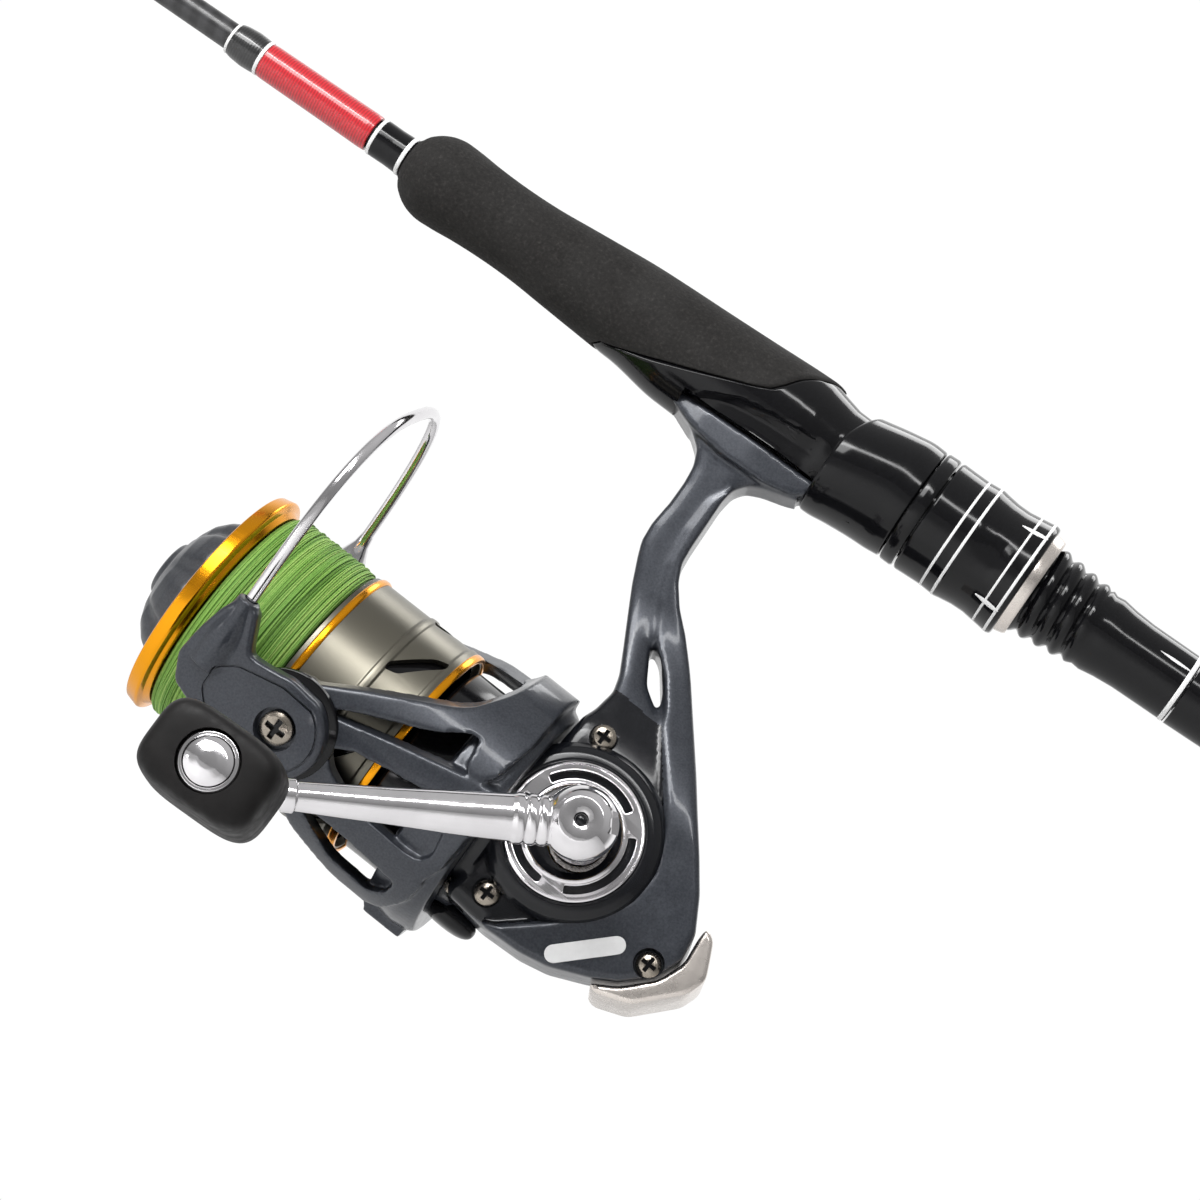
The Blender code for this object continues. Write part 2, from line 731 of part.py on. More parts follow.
def make_body():
    """The main casting: foot, stem, gear case and the front collar inside the rotor."""
    body = plate("body_housing", [case_outline()], CASE_FAR_Y, CASE_SPLIT_Y, BODY_GREY, REEL)
    window = filleted([
        (13.6, 44.0, 1.0),
        (6.8, 33.6, 1.2),
        (3.4, 33.2, 1.0),
        (9.4, 42.0, 2.0),
    ])
    stem = plate("stem", [stem_outline(), window], -5.2, 5.2, BODY_GREY, REEL)
    collar = turned("front_collar", [(24.0, 0.0), (24.0, 17.2), (23.2, 18.0), (13.3, 18.0), (13.3, 0.0)],
                    BODY_GREY, 24, REEL)
    far_boss = turned("far_boss", [(-14.0, 0.0), (-14.0, 7.2), (-19.4, 7.2), (-20.0, 6.6), (-20.0, 0.0)],
                      BODY_GREY, 22, REEL, (0, 0, DRIVE_OFFSET), ALONG_Y)
    join(body, stem, make_foot(), collar, far_boss)
    room, gear_room = case_hollow(-13.8, 8.0)
    nose_room = turned("nose_room", [(16.2, 0.0), (16.2, 16.6), (9.0, 16.6), (9.0, 0.0)],
                       BODY_GREY, 24, REEL)
    clutch_seat = turned("clutch_seat", [(25.0, 0.0), (25.0, 9.0), (15.0, 9.0), (15.0, 0.0)],
                         BODY_GREY, 22, REEL)
    far_seat = turned("far_seat", [(-13.0, 0.0), (-13.0, 5.8), (-16.8, 5.8), (-16.8, 0.0)], BODY_GREY, 20,
                      REEL, (0, 0, DRIVE_OFFSET), ALONG_Y)
    far_bore = turned("far_bore", [(-16.0, 0.0), (-16.0, 3.5), (-21.0, 3.5), (-21.0, 0.0)], BODY_GREY, 16,
                      REEL, (0, 0, DRIVE_OFFSET), ALONG_Y)
    near_flat = box("near_flat", (5.0, CASE_SPLIT_Y, -30.0), (14.3, 30.0, 30.0), BODY_GREY, REEL)
    lever_hole = turned("lever_hole", [(-12.0, 0.0), (-12.0, 1.8), (-22.0, 1.8), (-22.0, 0.0)],
                        BODY_GREY, 12, REEL, (LEVER_S, 0, 0), ALONG_Z)
    cut(body, room, gear_room, nose_room, clutch_seat, far_seat, far_bore, near_flat, lever_hole)
    for s, z in SCREW_PLACES:
        cut(body, turned("screw_hole", [(9.0, 0.0), (9.0, 1.4), (1.0, 1.4), (1.0, 0.0)], BODY_GREY, 10,
                         REEL, (s, 0, z), ALONG_Y))


def make_side_cover():
    """The handle-side cover: a flat shell with a round boss, and a thicker band along its heel."""
    cover = plate("side_cover", [case_outline()], CASE_SPLIT_Y + GAP, COVER_Y, BODY_GREY, REEL)
    boss = turned("cover_boss", [(17.0, 0.0), (17.0, 14.6), (16.2, 15.6), (12.0, 16.2), (12.0, 0.0)],
                  BODY_GREY, 24, REEL, (0, 0, DRIVE_OFFSET), ALONG_Y)
    band = plate("cover_band", [filleted([
        (3.2, -16.6, 1.0),
        (-9.0, -15.7, 6.0),
        (-20.2, -9.8, 8.0),
        (-26.7, -2.0, 8.0),
        (-26.2, 5.4, 8.0),
        (-18.2, 16.6, 8.0),
        (-9.4, 26.6, 1.0),
        (-4.6, 26.6, 1.0),
        (-15.4, 12.0, 6.0),
        (-17.6, 3.0, 6.0),
        (-12.6, -8.0, 6.0),
        (-2.0, -12.4, 4.0),
    ], 2)], COVER_Y - 1.0, BAND_Y, BODY_GREY, REEL)
    join(cover, boss, band)
    room, gear_room = case_hollow(5.0, 9.0)
    ring_seat = turned("ring_seat", [(18.0, 0.0), (18.0, 12.8), (15.6, 12.8), (15.6, 8.6), (13.8, 8.6),
                                     (13.8, 5.8), (8.0, 5.8), (8.0, 0.0)], BODY_GREY, 24, REEL,
                       (0, 0, DRIVE_OFFSET), ALONG_Y)
    front_trim = box("front_trim", (14.0, 5.0, -30.0), (20.0, 20.0, 30.0), BODY_GREY, REEL)
    cut(cover, room, gear_room, ring_seat, front_trim)
    for s, z in SCREW_PLACES:
        cut(cover, turned("screw_seat", [(18.0, 0.0), (18.0, 2.4), (12.6, 2.4), (12.6, 1.4), (5.0, 1.4),
                                         (5.0, 0.0)], BODY_GREY, 12, REEL, (s, 0, z), ALONG_Y))


def make_cover_screws():
    """Cross-head screws that hold the side cover on the body."""
    for number, (s, z) in enumerate(SCREW_PLACES, 1):
        top = 14.6
        screw = turned(f"cover_screw_{number}", [(top, 0.0), (top, 1.5), (top - 0.4, 2.1), (12.9, 2.1),
                                                 (12.9, 1.1), (2.0, 1.1), (2.0, 0.0)], STEEL, 12, REEL,
                       (s, 0, z), ALONG_Y)
        cut_cross(screw, top, 1.4, 0.25, REEL, (s, 0, z))


def cut_cross(screw, top, reach, half, parent, location, side=1):
    """Cut a screw's cross recess from the outer end of its head, which faces the parent's Y."""
    for across, up in ((reach, half), (half, reach)):
        ends = sorted((side * (top - 0.8), side * (top + 1.0)))
        cut(screw, box("cross_slot", (-across, ends[0], -up), (across, ends[1], up), STEEL, parent,
                       location))


def make_boss_ring():
    kidney = [
        arc((0, 0), 11.4, start, start + 94, 9) + arc((0, 0), 9.8, start + 94, start, 9)
        for start in (13, 133, 253)
    ]
    plate("boss_ring", [circle((0, 0), 12.4, 28), circle((0, 0), 8.5, 24)] + kidney, 15.9, 17.4,
          CHROME, REEL, (0, 0, DRIVE_OFFSET), (0, 0, 0))


def make_rear_cover():
    """The pale guard that wraps the heel of the body."""
    outer = filleted([
        (-19.5, -13.6, 0),
        (-25.0, -11.4, 3.0),
        (-31.6, -3.6, 4.0),
        (-32.2, 1.0, 2.0),
        (-27.6, 7.6, 0),
        (-27.3, 5.2, 0),
        (-27.9, -2.2, 7.0),
        (-20.9, -10.8, 5.0),
        (-17.0, -13.0, 0),
    ], 2)
    plate("rear_cover", [outer], CASE_FAR_Y + 2.0, COVER_Y - 1.0, PALE_METAL, REEL)


def make_lever():
    """The anti-reverse lever: a lobed paddle under the body that turns on a short pin."""
    paddle = circle((0, 0), 3.7, 18)
    lever = plate("anti_reverse_lever", [paddle], 15.9, 19.6, GLOSS_BLACK, LEVER_PIVOT, (0, 0, 0),
                  (-90, 0, 0))
    pin = turned("lever_pin", [(-13.9, 0.0), (-13.9, 1.5), (-17.0, 1.5), (-17.0, 0.0)], GLOSS_BLACK, 10,
                 LEVER_PIVOT, (0, 0, 0), ALONG_Z)
    join(lever, pin)


# ---------------------------------------------------------------- drive train

def face_gear_tooth(number):
    """One straight tooth, tangent to the circle of the gear's offset, as a cutter's blank."""
    low = MESH_S - FACE_HALF
    high = MESH_S + FACE_HALF
    root = 0.42
    tip = 0.19
    cage = bmesh.new()
    bmesh.ops.create_cube(cage, size=1.0)
    for vertex in cage.verts:
        x = high if vertex.co.x > 0 else low
        y = 2.5 if vertex.co.y < 0 else 3.6
        half = tip if vertex.co.y < 0 else root
        z = math.copysign(half, vertex.co.z) - DRIVE_OFFSET
        vertex.co = (x * MM, y * MM, z * MM)
    turn = Matrix.Rotation(math.radians(number * 360.0 / GEAR_TEETH), 4, "Y")
    cage.transform(turn)
    bmesh.ops.recalc_face_normals(cage, faces=cage.faces)
    mesh = bpy.data.meshes.new("tooth")
    cage.to_mesh(mesh)
    cage.free()
    return mesh


def make_drive_gear():
    """Face gear, hollow axle and the small gear that drives the oscillation, in one piece."""
    outer = math.hypot(MESH_S + FACE_HALF, DRIVE_OFFSET)
    rim = math.hypot(MESH_S - FACE_HALF, DRIVE_OFFSET)
    profile = [
        (16.4, 2.5),
        (16.4, AXLE_RADIUS),
        (6.6, AXLE_RADIUS),
        (6.6, rim - 2.0),
        (6.0, outer),
        (3.45, outer),
        (3.45, rim),
        (4.6, rim - 1.0),
        (4.6, 5.2),
        (3.2, 4.6),
        (3.2, AXLE_RADIUS),
        (-16.5, AXLE_RADIUS),
        (-16.5, 2.5),
    ]
    gear = turned("drive_gear", profile, BRONZE, 24, CRANK, (0, 0, 0), ALONG_Y)
    teeth = bpy.data.objects.new("face_teeth", bpy.data.meshes.new("face_teeth"))
    PARTS.objects.link(teeth)
    cage = bmesh.new()
    for number in range(GEAR_TEETH):
        tooth = face_gear_tooth(number)
        cage.from_mesh(tooth)
        bpy.data.meshes.remove(tooth)
    cage.to_mesh(teeth.data)
    cage.free()
    place(teeth, CRANK, (0, 0, 0), (0, 0, 0))
    small = plate("oscillation_drive", [gear_outline(OSC_SMALL_TEETH, 5.2, 3.75, 1.1)],
                  -13.0, -10.6, BRONZE, CRANK)
    cut(small, turned("small_bore", [(-5.0, 0.0), (-5.0, 2.7), (-20.0, 2.7), (-20.0, 0.0)], BRONZE, 18,
                      CRANK, (0, 0, 0), ALONG_Y))
    join(gear, teeth, small)


def make_bearings():
    turned("bearing_near", ring(13.5, 10.3, 5.5, 3.3), STEEL, 18, REEL, (0, 0, DRIVE_OFFSET), ALONG_Y)
    turned("bearing_far", ring(-13.5, -16.5, 5.5, 3.3), STEEL, 18, REEL, (0, 0, DRIVE_OFFSET), ALONG_Y)
    turned("pinion_bearing", ring(19.5, 16.5, 8.7, 3.3), STEEL, 18, REEL)
    turned("one_way_clutch", ring(23.7, 19.9, 8.7, 3.3, 0.4), BRONZE, 18, REEL)


def make_pinion():
    low = MESH_S - FACE_HALF - 0.5
    high = MESH_S + FACE_HALF + 0.5
    pinion = plate("pinion_gear", [gear_outline(PINION_TEETH, PINION_TIP_RADIUS, PINION_ROOT_RADIUS, 0.76,
                                                PINION_PHASE)],
                   -high, -low, BRONZE, ROTOR_SPIN, (0, 0, 0), (0, 0, 90))
    sleeve = turned("pinion_sleeve", [(35.2, 0.0), (35.2, 2.9), (16.2, 2.9), (16.2, 2.1),
                                      (high - 0.4, 2.1), (high - 0.4, 0.0)], BRONZE, 18, ROTOR_SPIN)
    tail = turned("pinion_tail", [(low + 0.4, 0.0), (low + 0.4, 2.05), (8.6, 2.05), (8.6, 0.0)],
                  BRONZE, 18, ROTOR_SPIN)
    bore = turned("pinion_bore", [(40.0, 0.0), (40.0, 1.62), (5.0, 1.62), (5.0, 0.0)], BRONZE, 18,
                  ROTOR_SPIN)
    join(pinion, sleeve, tail)
    cut(pinion, bore)


def make_oscillation():
    shaft_rear = -9.4
    turned("main_shaft", [(86.6, 0.0), (86.6, 1.0), (86.3, SHAFT_RADIUS), (shaft_rear, SHAFT_RADIUS),
                          (shaft_rear, 0.0)], STEEL, 14, SHAFT_SLIDE)
    slider = plate("oscillation_slider", [
        [(-4.0, 9.8), (-4.0, -5.8), (-9.0, -5.8), (-9.0, 9.8)],
        [(-5.3, 9.0), (-5.3, -5.0), (-7.7, -5.0), (-7.7, 9.0)],
    ], -9.4, -7.0, STEEL, SHAFT_SLIDE)
    hub = box("slider_hub", (-8.8, -7.6, -3.0), (-4.2, 2.3, 2.2), STEEL, SHAFT_SLIDE)
    bore = turned("slider_bore", [(0.0, 0.0), (0.0, SHAFT_RADIUS + GAP), (-14.0, SHAFT_RADIUS + GAP),
                                  (-14.0, 0.0)], STEEL, 12, SHAFT_SLIDE)
    join(slider, hub)
    cut(slider, bore)
    reach = math.hypot(OSC_S, DRIVE_OFFSET - OSC_Z)
    centres = math.degrees(math.atan2(DRIVE_OFFSET - OSC_Z, -OSC_S))
    small_share = (centres + 180.0) / (360.0 / OSC_SMALL_TEETH) % 1.0
    phase = centres + (small_share - 0.5) * 360.0 / OSC_LARGE_TEETH
    large_radius = reach * OSC_LARGE_TEETH / (OSC_LARGE_TEETH + OSC_SMALL_TEETH)
    gear = plate("oscillation_gear", [
        gear_outline(OSC_LARGE_TEETH, large_radius + 0.6, large_radius - 0.85, 1.1, phase),
        circle((0, 0), 1.6, 16),
    ], -13.0, -10.6, BRONZE, OSC_SPIN)
    pin = turned("crank_pin", [(-9.7, 0.0), (-9.7, 1.0), (-11.5, 1.0), (-11.5, 0.0)], BRONZE, 10,
                 OSC_SPIN, (STROKE / 2, 0, 0), ALONG_Y)
    join(gear, pin)


# ---------------------------------------------------------------- rotor and bail

def arm_outline():
    """One rotor arm seen square on, in the rotor's X and Z: broad at the cup, round at the pivot."""
    crown = arc((PIVOT_S, 0), 9.0, -72, 72, 14)
    return crown + [(45.0, 12.2), (33.0, 18.6), (24.0, 23.4), (16.0, 24.2), (16.0, -24.2), (24.0, -23.4),
                    (33.0, -18.6), (45.0, -12.2)]


def arm_windows():
    """The openings in an arm: a wedge on either side of a pierced centre web."""
    side = filleted([(43.0, 7.6, 0.8), (30.0, 15.0, 1.5), (20.0, 20.0, 1.5), (19.0, 14.0, 1.5),
                     (31.0, 9.6, 1.0)])
    middle = filleted([(41.0, 3.2, 1.5), (41.0, -3.2, 1.5), (20.0, -6.6, 2.0), (20.0, 6.6, 2.0)])
    other = [(x, -z) for x, z in reversed(side)]
    return side, middle, other


def make_rotor():
    cup = [
        (22.0, 23.3),
        (22.0, 25.0),
        (19.0, ROTOR_RADIUS),
        (15.5, 24.8),
        (ROTOR_REAR, 24.0),
        (ROTOR_REAR, 18.5),
        (24.5, 18.5),
        (24.5, 3.2),
        (31.0, 3.2),
        (31.0, 6.0),
        (28.2, 7.2),
        (27.6, 18.6),
        (26.4, 20.0),
        (17.5, 20.0),
        (17.5, 23.3),
    ]
    rotor = turned("rotor", cup, BODY_GREY, 24, ROTOR_SPIN)
    for side in (1, -1):
        name = "near" if side > 0 else "far"
        shell = turned(f"arm_shell_{name}", ring(64.0, 16.4, ARM_OUTER, ARM_INNER), BODY_GREY, 32,
                       ROTOR_SPIN)
        arm = plate(f"arm_{name}", [arm_outline(), *arm_windows()], 5.0, 30.0, BODY_GREY, ROTOR_SPIN,
                    (0, 0, 0), (0 if side > 0 else 180, 0, 0))
        combine(arm, shell, "INTERSECT")
        join(rotor, arm)
        cut(rotor, turned(f"arm_hole_{name}", [(30.0, 0.0), (30.0, 1.9), (20.0, 1.9), (20.0, 0.0)],
                          BODY_GREY, 12, ROTOR_SPIN, (PIVOT_S, 0, 0), (-90 * side, 0, 0)))
    plate("rotor_nut", [circle((0, 0), 5.6, 6), circle((0, 0), 3.25, 18)], -34.6, -31.3, STEEL,
          ROTOR_SPIN, (0, 0, 0), (0, 0, 90))
    for number, side in ((1, 1), (2, -1)):
        screw = turned(f"bail_screw_{number}", [
            (31.1, 0.0), (31.1, 2.6), (30.6, 3.4), (29.4, 3.4), (29.4, 1.6), (24.5, 1.6), (24.5, 0.0)],
            STEEL, 14, ROTOR_SPIN, (PIVOT_S, 0, 0), (-90 * side, 0, 0))
        cut_cross(screw, 31.1, 1.9, 0.4, ROTOR_SPIN, (PIVOT_S, 0, 0), side)


def bail_arm_outline(nose_corners):
    """An arm of the bail in the bail's X and Z: a round boss on the pivot, then the given nose."""
    boss = [(x, z, 0) for x, z in arc((0, 0), 9.2, 110, 290, 12)]
    return filleted(boss + nose_corners, 2)


def make_bail():
    wire = WIRE_S - PIVOT_S
    arm = plate("bail_arm", [bail_arm_outline([
        (12.0, -6.6, 4.0),
        (22.0, -3.5, 4.0),
        (22.4, 6.0, 3.0),
        (wire + 2.2, 12.8, 0),
        (wire - 2.4, 12.8, 0),
        (wire - 5.6, 7.4, 3.0),
    ])], BAIL_INNER, BAIL_OUTER, BODY_GREY, BAIL)
    nose = tube("bail_nose", [(wire, 29.2, 3.0, 1.0), (wire, 29.2, 9.0, 0.95), (wire, 29.2, 15.4, 0.62)],
                3.4, BODY_GREY, BAIL)
    socket = tube("wire_socket", [(wire, WIRE_HALF_WIDTH, 12.0), (wire, WIRE_HALF_WIDTH, 18.0)],
                  WIRE_RADIUS + GAP, BODY_GREY, BAIL)
    seat = [(35.0, 0.0), (35.0, 4.7), (29.1, 4.7), (29.1, 1.95), (20.0, 1.95), (20.0, 0.0)]
    join(arm, nose)
    cut(arm, socket, turned("near_screw_seat", seat, BODY_GREY, 18, BAIL, (0, 0, 0), ALONG_Y))
    far = plate("roller_arm", [bail_arm_outline([
        (12.0, -6.6, 4.0),
        (21.0, -5.0, 4.0),
        (21.4, 2.3, 0),
        (wire - 4.6, 2.3, 2.0),
    ])], -BAIL_OUTER, -BAIL_INNER, BODY_GREY, BAIL)
    lug = tube("roller_lug", [(wire, -28.8, -3.6, 0.8), (wire, -28.8, 0.0, 1.0), (wire, -28.8, 2.6, 1.0)],
               3.6, BODY_GREY, BAIL)
    pin = tube("roller_pin", [(wire, -28.8, 2.0), (wire, -28.8, 10.8)], 1.4, BODY_GREY, BAIL)
    join(far, lug, pin)
    cut(far, turned("far_screw_seat", seat, BODY_GREY, 18, BAIL, (0, 0, 0), (90, 0, 0)))
    turned("line_roller", [(8.6, 1.75), (8.6, 3.6), (7.6, 3.7), (5.8, 3.0), (4.0, 3.7), (3.0, 3.6),
                           (3.0, 1.75)], STEEL, 18, ROLLER, (0, 0, 0), ALONG_Z)
    make_bail_wire(wire)


def make_bail_wire(wire):
    """The wire from the near arm's nose over the spool to a cone beside the line roller."""
    half = WIRE_HALF_WIDTH
    start = 12.6
    straight = 17.0
    points = [(wire, half, start), (wire, half, straight)]
    steps = 24
    power = 0.74
    for i in range(1, steps):
        angle = math.pi * i / steps
        across = math.copysign(abs(math.cos(angle)) ** power, math.cos(angle))
        up = math.sin(angle) ** power
        points.append((wire, across * half, straight + (WIRE_REACH - straight) * up))
    points += [(wire, -half, straight), (wire, -half, straight - 2.0)]
    bail = tube("bail_wire", points, WIRE_RADIUS, CHROME, BAIL)
    cone = tube("wire_cone", [(wire, -28.8, 11.2, 1.0), (wire, -28.8, 13.0, 1.0), (wire, -28.8, 19.0, 0.34)],
                3.5, CHROME, BAIL)
    join(bail, cone)


# ---------------------------------------------------------------- spool

def make_spool():
    profile = [
        (LIP_REAR - 0.3, 12.6),
        (LIP_REAR - 0.3, 14.6),
        (FLANGE_S + 1.6, 14.6),
        (FLANGE_S + 1.6, 22.4),
        (FLANGE_S, 22.6),
        (FLANGE_S - 0.8, SKIRT_RADIUS),
        (SKIRT_REAR + 0.4, SKIRT_RADIUS),
        (SKIRT_REAR, SKIRT_RADIUS - 0.3),
        (SKIRT_REAR, 21.0),
        (FLANGE_S - 4.0, 21.0),
        (FLANGE_S - 4.0, 1.6),
        (66.0, 1.6),
        (66.0, 12.6),
    ]
    spool = turned("spool", profile, SPOOL_GREY, 26, SPOOL)
    slot = filleted([(50.0, -1.6, 1.5), (50.0, 1.6, 1.5), (38.5, 1.6, 1.5), (38.5, -1.6, 1.5)])
    for k in range(7):
        side = plate(f"skirt_slot_{k}", [slot], 18.0, 26.0, SPOOL_GREY, SPOOL, (0, 0, 0),
                     (360 / 7 * k + 32, 0, 0))
        cut(spool, side)
    lip = [
        (LIP_FRONT, 12.6),
        (LIP_FRONT, 20.6),
        (LIP_FRONT - 0.6, LIP_RADIUS - 0.5),
        (LIP_FRONT - 1.6, LIP_RADIUS),
        (LIP_REAR + 0.8, LIP_RADIUS - 0.3),
        (LIP_REAR, LIP_RADIUS - 1.6),
        (LIP_REAR, 12.6),
    ]
    turned("spool_lip", lip, GOLD, 24, SPOOL)
    front = LIP_REAR - GAP
    rear = FLANGE_S + 1.6 + GAP
    pack = [
        (front, 14.9),
        (front, 22.0),
        (front - 2.0, 22.5),
        (rear + 2.0, 22.3),
        (rear, 21.9),
        (rear, 14.9),
    ]
    turned("line_pack", pack, BRAID, 26, SPOOL)
    turned("drag_washer_rear", ring(69.5, 66.3, 12.2, 1.7), STEEL, 22, SPOOL)
    turned("drag_washer_front", ring(73.6, 69.8, 12.2, 1.7), CARBON, 22, SPOOL)


def make_drag_knob():
    """A domed knob with a raised grip bar and shallow lobes round its rim."""
    dome = [
        (92.2, 0.0),
        (92.2, 5.0),
        (91.4, 8.4),
        (89.4, 11.8),
        (86.6, 14.4),
        (83.6, 15.6),
        (82.5, 15.6),
        (82.5, 12.0),
        (74.0, 12.0),
        (74.0, 0.0),
    ]
    knob = turned("drag_knob", dome, KNOB_GREY, 26, DRAG)
    for k in range(6):
        angle = 60.0 * k + 30.0
        lobe = tube(f"knob_lobe_{k}", [(82.0, 19.6, 0.0), (95.0, 15.4, 0.0)], 4.2, KNOB_GREY, DRAG,
                    (0, 0, 0), (angle, 0, 0), 2)
        cut(knob, lobe)
    bore = turned("knob_bore", [(87.2, 0.0), (87.2, 1.7), (73.0, 1.7), (73.0, 0.0)], KNOB_GREY, 14, DRAG)
    cut(knob, bore)


# ---------------------------------------------------------------- handle

def make_handle():
    turned("handle_shank", [
        (29.8, 0.0),
        (29.8, 4.3),
        (22.4, 4.3),
        (21.8, 5.2),
        (17.9, 5.2),
        (17.3, 4.4),
        (17.3, 2.2),
        (-17.6, 2.2),
        (-17.6, 0.0),
    ], CHROME, 22, CRANK, (0, 0, 0), ALONG_Y)
    across = math.cos(math.radians(CRANK_ANGLE)) * CRANK_LENGTH
    down = math.sin(math.radians(CRANK_ANGLE)) * CRANK_LENGTH
    end_y = KNOB_INNER_Y - 6.6

    def along(share):
        """A point on the arm's centre line, which rises outwards to the knob."""
        return (across * share, ELBOW_Y + (end_y - ELBOW_Y) * share ** 1.5, down * share)

    points = [(*along(share), factor) for share, factor in
              ((0.0, 1.0), (0.17, 1.0), (0.25, 1.06), (0.45, 0.94), (0.7, 0.76), (0.84, 0.68))]
    arm = tube("handle_arm", points, 4.4, CHROME, CRANK, resolution=3)
    elbow_profile = [(max(along_y, -6.0), radius) for along_y, radius in sphere_profile(6.6, 9)]
    elbow = turned("elbow_ball", elbow_profile, CHROME, 18, CRANK, (0, ELBOW_Y, 0), ALONG_Y)
    neck = tube("knob_eye", [(across, end_y - 3.4, down), (across, end_y + 3.0, down)], 4.0, CHROME, CRANK,
                resolution=3)
    throat = tube("arm_end", [(*along(0.82), 0.7), (*along(1.0), 0.7)], 4.2, CHROME, CRANK, resolution=3)
    join(arm, elbow, throat, neck)
    turned("knob_shaft", [
        (KNOB_OUTER_Y - 4.0, 0.0),
        (KNOB_OUTER_Y - 4.0, 2.0),
        (KNOB_INNER_Y - 1.0, 2.0),
        (KNOB_INNER_Y - 1.0, 3.0),
        (end_y + 3.3, 3.0),
        (end_y + 3.3, 0.0),
    ], STEEL, 18, KNOB, (0, 0, 0), ALONG_Y)


def sphere_profile(radius, count):
    """A ball's half profile from its front pole to its rear pole."""
    return [(radius * math.cos(math.pi * i / count), radius * math.sin(math.pi * i / count)
             if 0 < i < count else 0.0) for i in range(count + 1)]


def make_knob():
    """The rubber knob: an oblong cushion shape, bored for its shaft, with a domed metal cap."""
    long_half = 12.2
    short_half = 8.4
    middle = 0.5 * (KNOB_INNER_Y + KNOB_OUTER_Y)
    half = 0.5 * (KNOB_OUTER_Y - KNOB_INNER_Y) - 0.6
    cage = bmesh.new()
    bmesh.ops.create_uvsphere(cage, u_segments=20, v_segments=10, radius=1.0)
    for vertex in cage.verts:
        x, y, z = vertex.co
        flat = max(abs(x) ** 4 + abs(y) ** 4, 1e-9) ** 0.25
        spread = (x * x + y * y) ** 0.5 / flat if flat > 1e-3 else 1.0
        lift = math.copysign(abs(z) ** 0.62, z)
        round_off = max(0.0, 1.0 - abs(lift) ** 5) ** 0.25
        length = (x * x + y * y) ** 0.5
        if length > 1e-6:
            vertex.co.x = x / length * spread * long_half * round_off * MM
            vertex.co.y = y / length * spread * short_half * round_off * MM
        vertex.co.z = lift * half * MM
    mesh = bpy.data.meshes.new("handle_knob")
    cage.to_mesh(mesh)
    cage.free()
    knob = bpy.data.objects.new("handle_knob", mesh)
    PARTS.objects.link(knob)
    place(knob, KNOB_TURN, (0, middle, 0), (90, 0, 0))
    finish_mesh(knob, RUBBER)
    bore = turned("knob_hole", [(KNOB_OUTER_Y - 3.4, 0.0), (KNOB_OUTER_Y - 3.4, 2.4),
                                (KNOB_INNER_Y - 5.0, 2.4), (KNOB_INNER_Y - 5.0, 0.0)], RUBBER, 18,
                  KNOB_TURN, (0, 0, 0), ALONG_Y)
    seat = turned("cap_seat", [(KNOB_OUTER_Y + 4.0, 0.0), (KNOB_OUTER_Y + 4.0, 6.0),
                               (KNOB_OUTER_Y - 2.6, 6.0), (KNOB_OUTER_Y - 2.6, 0.0)], RUBBER, 18,
                  KNOB_TURN, (0, 0, 0), ALONG_Y)
    cut(knob, bore, seat)
    turned("knob_cap", [
        (KNOB_OUTER_Y, 0.0),
        (KNOB_OUTER_Y - 0.2, 2.6),
        (KNOB_OUTER_Y - 0.8, 4.6),
        (KNOB_OUTER_Y - 1.6, 5.7),
        (KNOB_OUTER_Y - 2.3, 5.7),
        (KNOB_OUTER_Y - 2.3, 0.0),
    ], CHROME, 18, KNOB_TURN, (0, 0, 0), ALONG_Y)


def make_screw_cap():
    """The cap on the far side that locks the handle's shaft in the axle."""
    profile = [
        (-18.0, 0.0),
        (-18.0, 2.4),
        (-20.4, 2.4),
        (-20.4, 6.6),
        (-21.2, 7.2),
        (-25.0, 7.2),
        (-26.4, 5.6),
        (-26.8, 0.0),
    ]
    turned("handle_screw_cap", profile, BODY_GREY, 24, CRANK, (0, 0, 0), ALONG_Y)


# ---------------------------------------------------------------- assembly

clear_scene()
PARTS = collection(OBJECT_NAME)
CUTTERS = collection("cutters")

CARBON = material("carbon_blank", (0.02, 0.02, 0.022), 0.45)
EVA = material("eva_foam", (0.03, 0.029, 0.028), 0.9)
GLOSS_BLACK = material("gloss_black", (0.01, 0.01, 0.011), 0.12)
RED_WRAP = material("red_wrap", (0.55, 0.01, 0.02), 0.2)
RUBBER = material("black_rubber", (0.02, 0.02, 0.02), 0.6)
GUIDE_STEEL = material("guide_steel", (0.35, 0.35, 0.36), 0.3, 1.0)
CERAMIC = material("guide_ceramic", (0.03, 0.03, 0.035), 0.15)
BODY_GREY = material("body_grey", (0.045, 0.052, 0.066), 0.4, 0.5)
PALE_METAL = material("pale_metal", (0.75, 0.72, 0.68), 0.3, 0.9)
CHROME = material("chrome", (0.75, 0.75, 0.76), 0.12, 1.0)
STEEL = material("steel", (0.55, 0.54, 0.52), 0.3, 1.0)
BRONZE = material("bronze", (0.55, 0.4, 0.18), 0.35, 1.0)
SPOOL_GREY = material("spool_grey", (0.2, 0.2, 0.18), 0.35, 0.9)
GOLD = material("gold_anodised", (0.9, 0.45, 0.03), 0.25, 1.0)
BRAID = material("braided_line", (0.2, 0.42, 0.06), 0.7)
KNOB_GREY = material("knob_grey", (0.1, 0.105, 0.115), 0.45)

